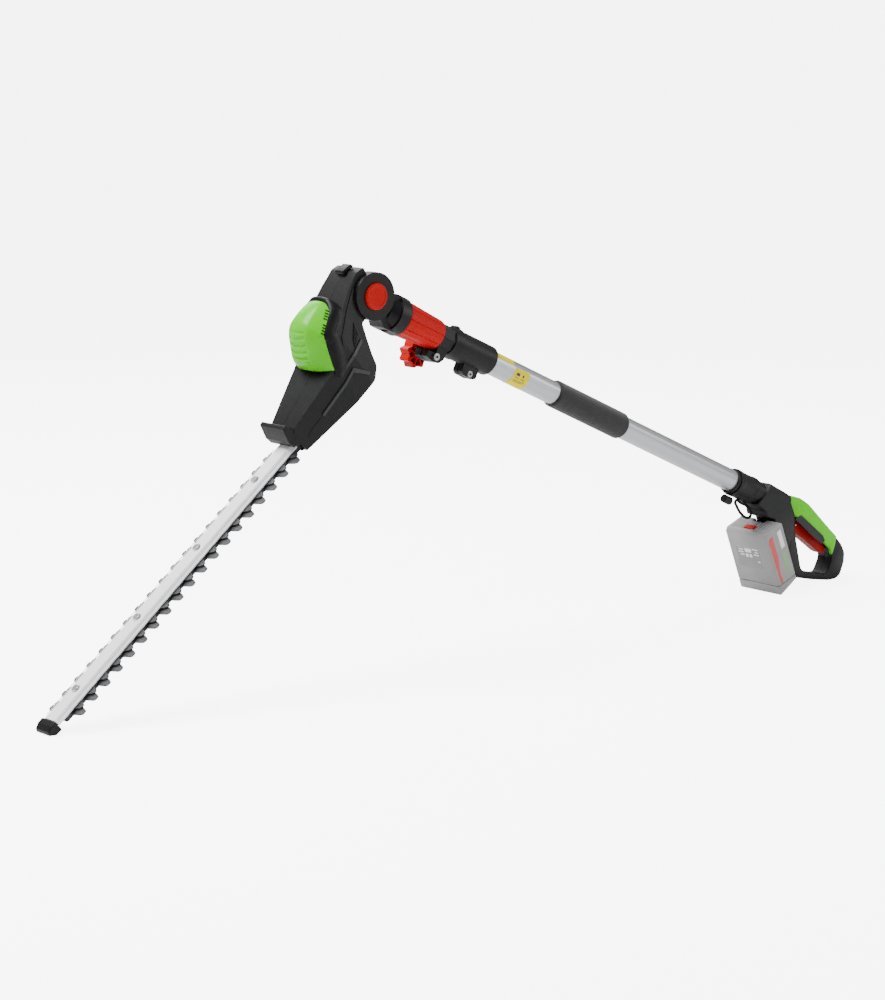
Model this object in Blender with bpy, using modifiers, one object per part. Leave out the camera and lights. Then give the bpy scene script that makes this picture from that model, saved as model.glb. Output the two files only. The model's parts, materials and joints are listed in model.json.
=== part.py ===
"""Cordless pole hedge trimmer, modelled in metres with +Z up.

The blade points down towards -X and the pole runs down towards +X, so the tool
stands on the floor as an inverted V: on the tip guard, and on the handle and battery.
+Y is the hinge direction of the head, and y = 0 is the seam plane of both housings.
"""
import math

import bmesh
import bpy
from mathutils import Matrix, Vector

MM = 0.001
GAP = 0.0003                      # clearance between touching pieces

# Place of the head hinge, and the two slopes of the inverted V.
HINGE_X = -0.2048
HINGE_Z = 0.4622
POLE_SLOPE = math.radians(24.5)
HANDLE_TURN = math.radians(24.5)  # the rear handle's outline is drawn with the pole at this slope
BLADE_SLOPE = math.radians(39.5)

# Pole: distances S_* run along its axis from the hinge, rearwards.
AXIS_DROP = 0.0040                # pole axis below the hinge centre
TUBE_R = 0.0150
TUBE_WALL = 0.0012
TUBE_START = 0.184
TUBE_END = 0.735
INNER_WALL = 0.0012
INNER_CLEAR = 0.0006              # between inner and outer tube
INNER_R = TUBE_R - TUBE_WALL - INNER_CLEAR
INNER_START = 0.050
INNER_END = 0.560
FOAM_R = TUBE_R + 0.0028
FOAM_START = 0.347
FOAM_END = 0.481
SLOT_START = TUBE_END - 0.105
SLOT_END = TUBE_END - 0.045
REAR_SHIFT = TUBE_END - 0.735     # the handle and its collar move with the tube's end
SLOT_WIDTH = 0.0080

NECK_R = 0.0255                   # hinge barrel of the neck
NECK_HALF = 0.0130
FLANGE_R = 0.0245
FLANGE_START = 0.052
SLEEVE_START = 0.068
SLEEVE_END = 0.131
SLEEVE_R1 = 0.0226
SLEEVE_R2 = 0.0196
CLAMP_START = SLEEVE_END + 0.0010
CLAMP_MID = 0.153
CLAMP_END = 0.165
CLAMP_R = TUBE_R + 0.0028
SOCKET_END = 0.225
SOCKET_R = TUBE_R + 0.0040
NOSE_R = TUBE_R + 0.0022            # round nose of the rear housing, over the tube's end
COLLAR_R = NOSE_R + 0.0005         # bore of the strap collar

# Head: distances A run along the blade from the hinge, N is the height above it.
BOSS_R = 0.0290
BOSS_HALF = 0.0300
BUTTON_R = 0.0163
PITCH = 0.0220                    # tooth pitch
TEETH = 19
FIRST_TOOTH = 0.2164
STAGGER = 0.0077                  # teeth of the far side sit this much further out
LONG_TIP = 0.0300
SHORT_TIP = 0.0240
BLADE_HALF = 0.0150
STROKE = 0.0080
BLADE_END = FIRST_TOOTH + (TEETH - 1) * PITCH + 0.0096
RAIL_TOP = -0.0580
RAIL_BOTTOM = -0.0640
RAIL_TOP_HALF = 0.0092
RAIL_LOW_HALF = 0.0146
UPPER_N = -0.0655                 # middle planes of the two blades
LOWER_N = -0.0682
UPPER_THICK = 0.0020
LOWER_THICK = 0.0024
BOLT_R = 0.0030
BOLTS = tuple(0.255 + (BLADE_END - 0.292) * i / 3 for i in range(4))

MODULE = 0.0010
PINION_TEETH = 12
GEAR_TEETH = 44
MOTOR_A = 0.080
GEAR_A = MOTOR_A + MODULE * (PINION_TEETH + GEAR_TEETH) / 2
MOTOR_R = 0.0200
ECCENTRIC_R = 0.0060
ECCENTRIC_OFF = 0.0050

# Battery: its guide rail lies along the front of the handle's front arm.
BATTERY_TILT = math.radians(21.7)
BATTERY_LONG = 0.0870
BATTERY_THICK = 0.0370
BATTERY_HALF = 0.0380

BLACK = (0.028, 0.028, 0.031)
GREEN = (0.36, 0.80, 0.06)
RED = (0.62, 0.02, 0.02)
STEEL = (0.55, 0.56, 0.58)
PALE = (0.62, 0.62, 0.63)

parts = None
cutters = None


def clear_scene():
    for obj in list(bpy.data.objects):
        bpy.data.objects.remove(obj, do_unlink=True)


def collection(name):
    made = bpy.data.collections.new(name)
    bpy.context.scene.collection.children.link(made)
    return made


def material(name, colour, roughness, metallic=0.0):
    made = bpy.data.materials.new(name)
    made.use_nodes = True
    shader = made.node_tree.nodes["Principled BSDF"]
    shader.inputs["Base Color"].default_value = (*colour, 1.0)
    shader.inputs["Roughness"].default_value = roughness
    shader.inputs["Metallic"].default_value = metallic
    return made


def add(name, mesh, frame, look, helper=False):
    """Links one mesh as an object under its frame; look is (colour, roughness, metallic)."""
    obj = bpy.data.objects.new(name, mesh)
    (cutters if helper else parts).objects.link(obj)
    obj.parent = frame
    if helper:
        obj.hide_render = True
        obj.display_type = "WIRE"
    else:
        mesh.materials.clear()
        mesh.materials.append(material(name, *look))
    return obj


def frame_empty(name, location, turn_y):
    empty = bpy.data.objects.new(name, None)
    parts.objects.link(empty)
    empty.location = location
    empty.rotation_euler = (0.0, turn_y, 0.0)
    return empty


def mesh_of(bm, name):
    mesh = bpy.data.meshes.new(name)
    bmesh.ops.recalc_face_normals(bm, faces=bm.faces)
    bm.to_mesh(mesh)
    bm.free()
    return mesh


def box_mesh(name, low, high):
    bm = bmesh.new()
    bmesh.ops.create_cube(bm, size=1.0)
    low, high = Vector(low), Vector(high)
    size, middle = high - low, (high + low) / 2
    bmesh.ops.scale(bm, vec=size, verts=bm.verts)
    bmesh.ops.translate(bm, vec=middle, verts=bm.verts)
    return mesh_of(bm, name)


AXES = {"X": Matrix.Rotation(math.pi / 2, 4, "Y"), "Y": Matrix.Rotation(-math.pi / 2, 4, "X"), "Z": Matrix.Identity(4)}


def rod_mesh(name, axis, start, end, radius, at=(0.0, 0.0, 0.0), radius2=None, sides=24):
    """A cylinder or cone along one axis, from start to end on it."""
    bm = bmesh.new()
    bmesh.ops.create_cone(bm, cap_ends=True, segments=sides, radius1=radius,
                          radius2=radius if radius2 is None else radius2, depth=end - start)
    turn = AXES[axis]
    along = turn @ Vector((0.0, 0.0, (start + end) / 2))
    bmesh.ops.transform(bm, matrix=Matrix.Translation(Vector(at) + along) @ turn, verts=bm.verts)
    return mesh_of(bm, name)


def turned(name, frame, look, profile, axis="X", at=(0.0, 0.0, 0.0), steps=28, closed=False, helper=False):
    """A turned solid: profile holds (radius, height), down its outer side from the top."""
    mesh = bpy.data.meshes.new(name)
    points = [(r, 0.0, h) for r, h in profile]
    edges = [(i, i + 1) for i in range(len(points) - 1)]
    if closed:
        edges.append((len(points) - 1, 0))
    mesh.from_pydata(points, edges, [])
    obj = add(name, mesh, frame, look, helper)
    obj.location = at
    obj.rotation_euler = AXES[axis].to_euler()
    screw = obj.modifiers.new("Screw", "SCREW")
    screw.steps = steps
    screw.render_steps = steps
    screw.use_merge_vertices = True
    screw.merge_threshold = 0.00005
    return obj


def rounded(points, radius, segments=2):
    """The outline with each corner replaced by an arc; radius may be one value or one per corner."""
    out = []
    count = len(points)
    for i, point in enumerate(points):
        r = radius[i] if isinstance(radius, (list, tuple)) else radius
        here = Vector(point)
        before = Vector(points[i - 1]) - here
        after = Vector(points[(i + 1) % count]) - here
        angle = before.angle(after)
        if r <= 0.0 or angle > math.radians(174):
            out.append(tuple(here))
            continue
        reach = min(r / math.tan(angle / 2), before.length * 0.48, after.length * 0.48)
        first, last = here + before.normalized() * reach, here + after.normalized() * reach
        for k in range(segments + 1):
            t = k / segments
            out.append(tuple(first * (1 - t) ** 2 + here * 2 * t * (1 - t) + last * t * t))
    return out


def plate_mesh(name, loops, low, high, plane="XZ"):
    """A flat outline, with holes, from low to high along the axis across it."""
    curve = bpy.data.curves.new(name, "CURVE")
    curve.dimensions = "2D"
    curve.fill_mode = "BOTH"
    curve.extrude = (high - low) / 2
    for loop in loops:
        spline = curve.splines.new("POLY")
        spline.points.add(len(loop) - 1)
        for point, (x, y) in zip(spline.points, loop):
            point.co = (x, y, 0.0, 1.0)
        spline.use_cyclic_u = True
    holder = bpy.data.objects.new(name, curve)
    bpy.context.scene.collection.objects.link(holder)
    graph = bpy.context.evaluated_depsgraph_get()
    mesh = bpy.data.meshes.new_from_object(holder.evaluated_get(graph))
    bpy.data.objects.remove(holder, do_unlink=True)
    bpy.data.curves.remove(curve)
    bm = bmesh.new()
    bm.from_mesh(mesh)
    bpy.data.meshes.remove(mesh)
    bmesh.ops.remove_doubles(bm, verts=bm.verts, dist=0.00001)
    bmesh.ops.dissolve_limit(bm, angle_limit=0.001, verts=bm.verts, edges=bm.edges)
    middle = (low + high) / 2
    if plane == "XZ":
        turn = Matrix.Translation((0.0, middle, 0.0)) @ Matrix.Rotation(math.pi / 2, 4, "X")
    elif plane == "YZ":
        turn = Matrix.Translation((middle, 0.0, 0.0)) @ Matrix(((0, 0, 1, 0), (1, 0, 0, 0), (0, 1, 0, 0), (0, 0, 0, 1)))
    else:
        turn = Matrix.Translation((0.0, 0.0, middle))
    bmesh.ops.transform(bm, matrix=turn, verts=bm.verts)
    return mesh_of(bm, name)


def joined(name, meshes, frame, look, helper=False):
    """One object whose first mesh is joined with the others by Boolean unions."""
    obj = add(name, meshes[0], frame, look, helper)
    for i, mesh in enumerate(meshes[1:]):
        other = add(name + "_add" + str(i), mesh, obj, None, helper=True)
        boolean(obj, other, "UNION")
    return obj


def boolean(obj, other, operation="DIFFERENCE"):
    step = obj.modifiers.new("Boolean", "BOOLEAN")
    step.operation = operation
    step.object = other


def cut(obj, meshes, frame=None):
    """Cuts the meshes from obj; they are placed in its own frame, or in the frame given."""
    for mesh in meshes:
        other = add(obj.name + "_cut" + str(len(obj.modifiers)), mesh, frame or obj, None, helper=True)
        boolean(obj, other)


def bevel(obj, width, segments=1, angle=40):
    step = obj.modifiers.new("Bevel", "BEVEL")
    step.width = width
    step.segments = segments
    step.limit_method = "ANGLE"
    step.angle_limit = math.radians(angle)


def smooth(obj, angle=35):
    obj.data.shade_smooth()
    obj.data.set_sharp_from_angle(angle=math.radians(angle))


def mirrored_pair(name, build):
    """Calls build for the +Y half, then for the -Y half, with the sign of its side."""
    for side, label in ((1.0, "_left"), (-1.0, "_right")):
        build(name + label, side)


def span(side, near, far):
    """The y range from near to far on one side, low value first."""
    return (near, far) if side > 0 else (-far, -near)


def mm(points):
    return [(x * MM, y * MM) for x, y in points]


def head(points):
    """Outline points (A, N) in millimetres, turned into the head frame's x and z."""
    return [(-a * MM, n * MM) for a, n in points]


# ---------------------------------------------------------------- pole and tubes

def tube_profile(outer, inner, start, end):
    return [(outer, end), (outer, start), (inner, start), (inner, end)]


def build_tubes(pole):
    aluminium = ((0.62, 0.63, 0.65), 0.32, 0.9)
    at = (0.0, 0.0, -AXIS_DROP)
    outer = turned("outer_tube", pole, aluminium, tube_profile(TUBE_R, TUBE_R - TUBE_WALL, TUBE_START, TUBE_END),
                   at=at, closed=True)
    slot = rounded([(SLOT_START, -SLOT_WIDTH / 2), (SLOT_END, -SLOT_WIDTH / 2),
                    (SLOT_END, SLOT_WIDTH / 2), (SLOT_START, SLOT_WIDTH / 2)], [0.0039, 0.0008, 0.0008, 0.0039])
    cut(outer, [plate_mesh("slot", [slot], 0.002, TUBE_R + 0.01, "XY")], pole)
    turned("inner_tube", pole, aluminium, tube_profile(INNER_R, INNER_R - INNER_WALL, INNER_START, INNER_END),
           at=at, closed=True, steps=24)
    foam = [(FOAM_R - 0.0020, FOAM_END), (FOAM_R, FOAM_END - 0.0030), (FOAM_R, FOAM_START + 0.0030),
            (FOAM_R - 0.0020, FOAM_START), (TUBE_R + GAP, FOAM_START), (TUBE_R + GAP, FOAM_END)]
    turned("foam_grip", pole, (BLACK, 0.95, 0.0), foam, at=at, closed=True)


LUG_S = 0.1330                    # clamp bolt, along and across the pole
LUG_T = -0.0305
SOCKET_BOLT_S = 0.1990
SOCKET_BOLT_T = -0.0305


def build_clamp(pole):
    axis = -AXIS_DROP
    # Tube socket: the outer tube is bonded into its bore, and a lug below takes a cross screw.
    bore = TUBE_R + GAP
    body = rod_mesh("tube_socket", "X", CLAMP_END + GAP, SOCKET_END, SOCKET_R, (0, 0, axis), sides=28)
    lug = plate_mesh("socket_lug", [rounded([(0.184, axis), (0.2095, axis), (0.2095, -0.0330),
                                             (0.205, -0.0355), (0.188, -0.0350), (0.1835, -0.0320)], 0.003)],
                     -0.0085, 0.0085)
    socket = joined("tube_socket", [body, lug], pole, (BLACK, 0.45, 0.0))
    cut(socket, [rod_mesh("b", "X", TUBE_START - GAP, SOCKET_END + 0.01, bore, (0, 0, axis), sides=28),
                 rod_mesh("b", "X", CLAMP_END - 0.01, SOCKET_END, INNER_R + 0.0008, (0, 0, axis), sides=28),
                 rod_mesh("b", "Y", -0.02, 0.02, 0.0024 + GAP, (SOCKET_BOLT_S, 0, SOCKET_BOLT_T), sides=16),
                 rod_mesh("b", "Y", -0.02, -0.0055, 0.0047, (SOCKET_BOLT_S, 0, SOCKET_BOLT_T), sides=20),
                 plate_mesh("b", [[(0.180, -0.0255), (0.240, -0.0255), (0.240, -0.0500), (0.180, -0.0500)]],
                            -0.0008, 0.0008)])
    smooth(socket)
    screw = joined("socket_screw", [rod_mesh("s", "Y", -0.0080, -0.0058, 0.0043, sides=20),
                                    rod_mesh("s", "Y", -0.0065, 0.0075, 0.0024, sides=16)],
                   pole, (STEEL, 0.3, 1.0))
    screw.location = (SOCKET_BOLT_S, 0.0, SOCKET_BOLT_T)
    # Octagonal clamp with its split lug and rear flange.
    octagon = rod_mesh("clamp", "X", CLAMP_START, CLAMP_MID, CLAMP_R, (0, 0, axis), sides=8)
    plate = rod_mesh("clamp", "X", CLAMP_MID - 0.001, CLAMP_END, CLAMP_R + 0.0012, (0, 0, axis),
                     radius2=SOCKET_R + 0.0012, sides=28)
    ear = plate_mesh("ear", [rounded([(0.1545, axis), (0.1635, axis), (0.1635, 0.0180), (0.1545, 0.0180)], 0.0032)],
                     -0.0045, 0.0045)
    lug = plate_mesh("lug", [rounded([(CLAMP_START, -0.012), (0.150, -0.012), (0.147, -0.0300), (0.141, -0.0365),
                                      (0.130, -0.0372), (0.1195, -0.0345), (0.1195, -0.0265), (CLAMP_START, -0.0265)],
                                     [0, 0, 0.003, 0.003, 0.003, 0.002, 0.001, 0])], -0.0120, 0.0120)
    clamp = joined("tube_clamp", [octagon, plate, ear, lug], pole, (BLACK, 0.45, 0.0))
    cut(clamp, [rod_mesh("b", "X", CLAMP_START - 0.02, CLAMP_END + 0.02, INNER_R + 0.0005, (0, 0, axis), sides=28),
                plate_mesh("b", [[(0.10, -0.0140), (0.1480, -0.0140), (0.1480, -0.05), (0.10, -0.05)]],
                           -0.0010, 0.0010),
                rod_mesh("b", "Y", -0.02, 0.02, 0.0026 + GAP, (LUG_S, 0, LUG_T), sides=16)])
    smooth(clamp)
    bolt = joined("clamp_bolt", [rod_mesh("s", "Y", -0.0150, -0.0123, 0.0046, sides=20),
                                 rod_mesh("s", "Y", -0.0140, 0.0300, 0.0026, sides=16)],
                  pole, (STEEL, 0.25, 1.0))
    bolt.location = (LUG_S, 0.0, LUG_T)
    # Star knob: eight lobes on a thick disc, open on its inner face with radial ribs.
    lobes = []
    for i in range(48):
        angle = 2 * math.pi * i / 48
        radius = 0.0160 + 0.0020 * math.cos(8 * angle)
        lobes.append((radius * math.cos(angle), radius * math.sin(angle)))
    knob = add("star_knob", plate_mesh("k", [lobes], 0.0205, 0.0370), pole, (RED, 0.35, 0.0))
    knob.location = (LUG_S, 0.0, LUG_T)
    cut(knob, [rod_mesh("b", "Y", 0.0, 0.0303, 0.0026 + GAP, sides=16)])
    for i in range(8):
        angle = 2 * math.pi * (i + 0.5) / 8
        pocket = rounded([(0.0062, -0.0016), (0.0132, -0.0042), (0.0132, 0.0042), (0.0062, 0.0016)], 0.0008, 2)
        turn = [(x * math.cos(angle) - y * math.sin(angle), x * math.sin(angle) + y * math.cos(angle))
                for x, y in pocket]
        cut(knob, [plate_mesh("p", [turn], 0.010, 0.0285)])
    # Red twist sleeve with eight broad facets parted by grooves.
    section = []
    for i in range(10):
        angle = 2 * math.pi * i / 10
        for offset, depth in ((-0.28, 1.0), (0.0, 1.01), (0.28, 1.0), (0.30, 0.965), (0.3283, 0.965)):
            section.append((math.sin(angle + offset) * depth, math.cos(angle + offset) * depth))
    bm = bmesh.new()
    rings = []
    for s, r in ((SLEEVE_START, SLEEVE_R1 - 0.001), (SLEEVE_START + 0.002, SLEEVE_R1),
                 (SLEEVE_END - 0.002, SLEEVE_R2), (SLEEVE_END, SLEEVE_R2 - 0.0012)):
        rings.append([bm.verts.new((s, y * r, z * r)) for y, z in section])
    for first, second in zip(rings, rings[1:]):
        for i in range(len(section)):
            j = (i + 1) % len(section)
            bm.faces.new((first[i], first[j], second[j], second[i]))
    bm.faces.new(rings[0])
    bm.faces.new(rings[-1])
    sleeve = add("twist_sleeve", mesh_of(bm, "twist_sleeve"), pole, (RED, 0.38, 0.0))
    sleeve.location = (0.0, 0.0, axis)
    cut(sleeve, [rod_mesh("b", "X", 0.0, 0.2, INNER_R + 0.0005, sides=28)])


def build_neck(pole):
    axis = -AXIS_DROP
    barrel = rod_mesh("neck", "Y", -NECK_HALF, NECK_HALF, NECK_R, sides=36)
    under = NECK_R - 0.0055
    arm = plate_mesh("neck", [rounded([(0.0, NECK_R - 0.0065), (0.046, 0.0165), (0.0560, 0.0165), (0.0560, -0.0265),
                                       (0.0400, -0.0265), (0.0340, -under), (0.0, -under)],
                                      [0, 0.004, 0, 0, 0.003, 0.003, 0])], -NECK_HALF, NECK_HALF)
    cup = rod_mesh("neck", "X", 0.0400, FLANGE_START + 0.002, 0.0170, (0, 0, axis), radius2=0.0225, sides=28)
    flange = rod_mesh("neck", "X", FLANGE_START, SLEEVE_START - 0.0005, FLANGE_R, (0, 0, axis), sides=28)
    neck = joined("neck", [barrel, arm, cup, flange], pole, (BLACK, 0.42, 0.0))
    cut(neck, [rod_mesh("b", "X", INNER_START - 0.001, 0.09, INNER_R + GAP, (0, 0, axis), sides=28),
               rod_mesh("b", "Y", -0.05, 0.05, 0.0065, sides=24),
               rod_mesh("b", "Y", -NECK_HALF - 0.001, -0.0040, 0.0172, sides=36)])
    smooth(neck)


# ---------------------------------------------------------------- head

HALF_WIDTH = ((-60, 23.5), (10, 24), (46, 29), (72, 35.5), (104, 36.5), (150, 28.5), (190, 21), (260, 21))


def half_width(a):
    """Half width of the head, in millimetres, at distance a along it."""
    for (a0, w0), (a1, w1) in zip(HALF_WIDTH, HALF_WIDTH[1:]):
        if a <= a1:
            return w0 + (w1 - w0) * (a - a0) / (a1 - a0)
    return HALF_WIDTH[-1][1]


def tapered(mesh, near=0.0, far=0.0):
    """Moves the outer sides of a prism made up to 1 m wide to the head's half width, plus near or far."""
    bm = bmesh.new()
    bm.from_mesh(mesh)
    for a in (10, 46, 72, 104, 150, 190):
        geometry = bm.verts[:] + bm.edges[:] + bm.faces[:]
        bmesh.ops.bisect_plane(bm, geom=geometry, dist=1e-7, plane_co=(-a * MM, 0, 0), plane_no=(1, 0, 0))
    for vert in bm.verts:
        if abs(vert.co.y) > 0.5:
            more = far if abs(vert.co.y) > 0.8 else near
            vert.co.y = math.copysign(half_width(-vert.co.x / MM) * MM + more, vert.co.y)
    return mesh_of(bm, mesh.name)


HEAD_OUTLINE = [(-12, 35.5), (0, 38.5), (20, 33), (40, 25.5), (60, 19), (88, 10), (104, -18), (112, -20.5),
                (186, -39), (196, -56), (190, -73.2), (66, -73.2), (52, -64.5), (48, -50), (41, -30), (34, -12),
                (14, -12), (-8, 20)]
HEAD_ROUND = [2, 8, 8, 8, 8, 4, 4, 4, 4, 5, 3, 8, 8, 8, 8, 3, 0, 0]


def build_head_shells(frame):
    outline = rounded(head(HEAD_OUTLINE), [r * MM for r in HEAD_ROUND], 2)

    def half(name, side):
        low, high = span(side, GAP / 2, 1.0)
        body = tapered(plate_mesh(name, [outline], low, high))
        low, high = span(side, NECK_HALF + 2 * GAP, BOSS_HALF)
        boss = rod_mesh(name, "Y", low, high, BOSS_R, sides=36)
        shell = joined(name, [body, boss], frame, (BLACK, 0.42, 0.0))
        inner = span(side, -0.002, NECK_HALF + GAP)
        cut(shell, [
            rod_mesh("b", "Y", *inner, NECK_R + 0.0008, sides=36),
            plate_mesh("b", [head([(57, 4), (101, 4), (101, -31), (57, -31)])], *span(side, -0.002, 0.0250)),
            plate_mesh("b", [head([(60, -30), (134, -30.5), (134, -70.3), (70, -70.3), (60, -60)])],
                       *span(side, -0.002, 0.0265)),
            plate_mesh("b", [head([(133, -48), (180, -50), (186, -56), (230, -56), (230, -70.3), (133, -70.3)])],
                       *span(side, -0.002, 0.0184)),
            plate_mesh("b", [head([(188.5, -61), (230, -61), (230, -80), (187, -80)])], *span(side, 0.0150, 0.05)),
            rod_mesh("b", "Z", -0.010, 0.060, 0.0215, (-MOTOR_A, 0, 0), sides=28),
            rod_mesh("b", "Y", *span(side, 0.0, 0.0240), 0.0065, sides=24)])
        if side < 0:
            cut(shell, [rod_mesh("b", "Y", -0.0400, -0.0150, BUTTON_R + 0.0005, sides=36)])
        smooth(shell)

    mirrored_pair("head_shell", half)


def build_hinge(frame):
    pin = joined("hinge_pin", [rod_mesh("p", "Y", -0.0030, 0.0237, 0.0062, sides=24),
                               rod_mesh("p", "Y", -0.0120, -0.0020, 0.0040, sides=24)], frame, (STEEL, 0.3, 1.0))
    smooth(pin)
    teeth = []
    for i in range(24):
        for offset, radius in ((-0.09, 0.0145), (-0.05, 0.0168), (0.05, 0.0168), (0.09, 0.0145)):
            angle = 2 * math.pi * i / 24 + offset
            teeth.append((radius * math.cos(angle), radius * math.sin(angle)))
    hole = [(0.0068 * math.cos(2 * math.pi * i / 24), 0.0068 * math.sin(2 * math.pi * i / 24)) for i in range(24)]
    add("detent_ring", plate_mesh("detent_ring", [teeth, hole], -0.0105, -0.0045), frame, (STEEL, 0.35, 1.0))
    cap = turned("angle_lock_button", frame, (RED, 0.35, 0.0),
                 [(0.0, -0.0150), (0.0040, -0.0150), (0.0040, -0.0200), (0.0120, -0.0200), (BUTTON_R, -0.0200),
                  (BUTTON_R, -0.0318), (BUTTON_R - 0.0012, -0.0330), (0.0128, -0.0330), (0.0122, -0.0325),
                  (0.0, -0.0325)], axis="Y", steps=36)
    smooth(cap)


def build_covers(frame):
    # Black rim that frames the motor cover, one ring that lies on both shells.
    front = rounded(head([(47, 32), (58, 40), (84, 40), (100, 30), (116, 2), (113, -15.5), (104.5, -13.5),
                          (89, 13.5), (60, 22.8), (48, 26.8)]), [0.006, 0.010, 0.012, 0.012, 0.004, 0, 0.003, 0.003, 0, 0.002])
    bm_mesh = plate_mesh("motor_cover", [front], -1.0, 1.0)
    bm = bmesh.new()
    bm.from_mesh(bm_mesh)
    for vert in bm.verts:
        a, n = -vert.co.x / MM, vert.co.z / MM
        bulge = max(0.0, min(1.0, (n - (24 - 0.9 * max(0.0, a - 60))) / 22.0))
        width = 23.0 + 0.2 * max(0.0, min(50.0, a - 52)) - 8.0 * bulge
        vert.co.y = math.copysign(width * MM, vert.co.y)
    cover = add("motor_cover", mesh_of(bm, "motor_cover"), frame, (GREEN, 0.30, 0.0))
    bevel(cover, 0.005, 2, 50)
    cut(cover, [rod_mesh("b", "Z", -0.020, 0.0330, 0.0215, (-MOTOR_A, 0, 0), sides=24)])
    for i in range(5):
        a = 92 + 4.6 * i
        n = 33.0 - 6.7 * i
        cut(cover, [rod_mesh("b", "Y", -0.012, 0.040, 0.0011, (-(a + 4) * MM, 0, (n + 1) * MM), sides=8)])
    smooth(cover)


def build_head_trim(frame):
    lug = add("top_lug", plate_mesh("top_lug", [rounded(head([(-11.5, 36.3), (0, 39.2), (8, 37.1), (6.5, 44.0),
              (-9, 42.0)]), 0.002)], -0.0080, 0.0080), frame, (BLACK, 0.5, 0.0))
    bevel(lug, 0.001)
    guard = add("hand_guard", plate_mesh("hand_guard", [rounded(head([(186.7, -38.0), (192.5, -26.5), (197.5, -27.5),
                (201.5, -46), (199.5, -56.2), (197.0, -56.2)]), [0, 0.001, 0.002, 0.003, 0.001, 0])],
                -0.0230, 0.0230), frame, (BLACK, 0.42, 0.0))
    bevel(guard, 0.0012)

    def rib(name, side):
        bar = rounded(head([(47, -22), (51, -27), (93, -31), (97, -27.5), (60, -23)]), 0.002, 2)
        panel = rounded(head([(66, -60), (70, -61), (86, -41.5), (148, -55), (148, -51), (83, -36.5)]), 0.0012, 2)
        for part, loop in (("side_bar", bar), ("side_rib", panel)):
            low, high = span(side, 0.6, 1.0)
            mesh = tapered(plate_mesh(part, [loop], low, high), near=GAP, far=0.0016)
            add(name.replace("side", part), mesh, frame, ((0.16, 0.16, 0.17), 0.5, 0.0))

    mirrored_pair("side", rib)


def gear_outline(teeth, module, phase=0.0):
    """Trapezoidal teeth with a little backlash."""
    pitch_r = teeth * module / 2
    step = 2 * math.pi / teeth
    loop = []
    for i in range(teeth):
        for part, radius in ((-0.29, pitch_r - 1.2 * module), (-0.13, pitch_r + 0.9 * module),
                             (0.13, pitch_r + 0.9 * module), (0.29, pitch_r - 1.2 * module)):
            angle = phase + (i + part) * step
            loop.append((radius * math.cos(angle), radius * math.sin(angle)))
    return loop


def circle(radius, at=(0.0, 0.0), sides=24):
    return [(at[0] + radius * math.cos(2 * math.pi * i / sides), at[1] + radius * math.sin(2 * math.pi * i / sides))
            for i in range(sides)]


def build_drive(frame):
    motor_at = (-MOTOR_A, 0.0, 0.0)
    gear_at = (-GEAR_A, 0.0, 0.0)
    can = turned("motor", frame, (STEEL, 0.35, 1.0),
                 [(0.0, 0.0310), (0.0050, 0.0310), (0.0050, 0.0290), (0.0185, 0.0290), (MOTOR_R, 0.0270),
                  (MOTOR_R, -0.0270), (0.0080, -0.0270), (0.0080, -0.0295), (0.0027, -0.0295),
                  (0.0027, -0.0150), (0.0, -0.0150)], axis="Z", at=motor_at, steps=24)
    smooth(can)
    # The gear has a tooth on the line of centres, so the pinion has a gap there.
    pinion = joined("motor_pinion",
                    [plate_mesh("p", [gear_outline(PINION_TEETH, MODULE, math.pi / PINION_TEETH)],
                                -0.0520, -0.0400, "XY"),
                     rod_mesh("p", "Z", -0.0570, -0.0160, 0.0024, sides=20)], frame, (STEEL, 0.3, 1.0))
    pinion.location = motor_at
    gear = joined("drive_gear",
                  [plate_mesh("g", [gear_outline(GEAR_TEETH, MODULE)], -0.0500, -0.0430, "XY"),
                   rod_mesh("g", "Z", -0.0667, -0.0490, ECCENTRIC_R, (ECCENTRIC_OFF, 0, 0), sides=24),
                   rod_mesh("g", "Z", -0.0693, -0.0660, ECCENTRIC_R, (-ECCENTRIC_OFF, 0, 0), sides=24)],
                  frame, (STEEL, 0.35, 1.0))
    gear.location = gear_at
    cut(gear, [rod_mesh("b", "Z", -0.0560, -0.0400, 0.0033, sides=20)])
    rod = add("gear_shaft", rod_mesh("s", "Z", -0.0555, -0.0340, 0.0030, sides=20), frame, (STEEL, 0.25, 1.0))
    rod.location = gear_at
    turned("gear_bearing", frame, (STEEL, 0.25, 1.0), tube_profile(0.0080, 0.0033, -0.0425, -0.0365),
           axis="Z", at=gear_at, steps=24, closed=True)
    turned("pinion_bearing", frame, (STEEL, 0.25, 1.0), tube_profile(0.0055, 0.0027, -0.0570, -0.0525),
           axis="Z", at=motor_at, steps=24, closed=True)
    plate = rounded([(-0.066, -0.024), (-0.066, 0.024), (-0.130, 0.024), (-0.1325, 0.0170), (-0.146, 0.0170),
                     (-0.146, -0.0170), (-0.1325, -0.0170), (-0.130, -0.024)], 0.003, 2)
    add("gearbox_plate", plate_mesh("g", [plate, circle(0.0120, (-GEAR_A, 0.0), 32)], -0.0605, -0.0578, "XY"),
        frame, (STEEL, 0.4, 1.0))


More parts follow.
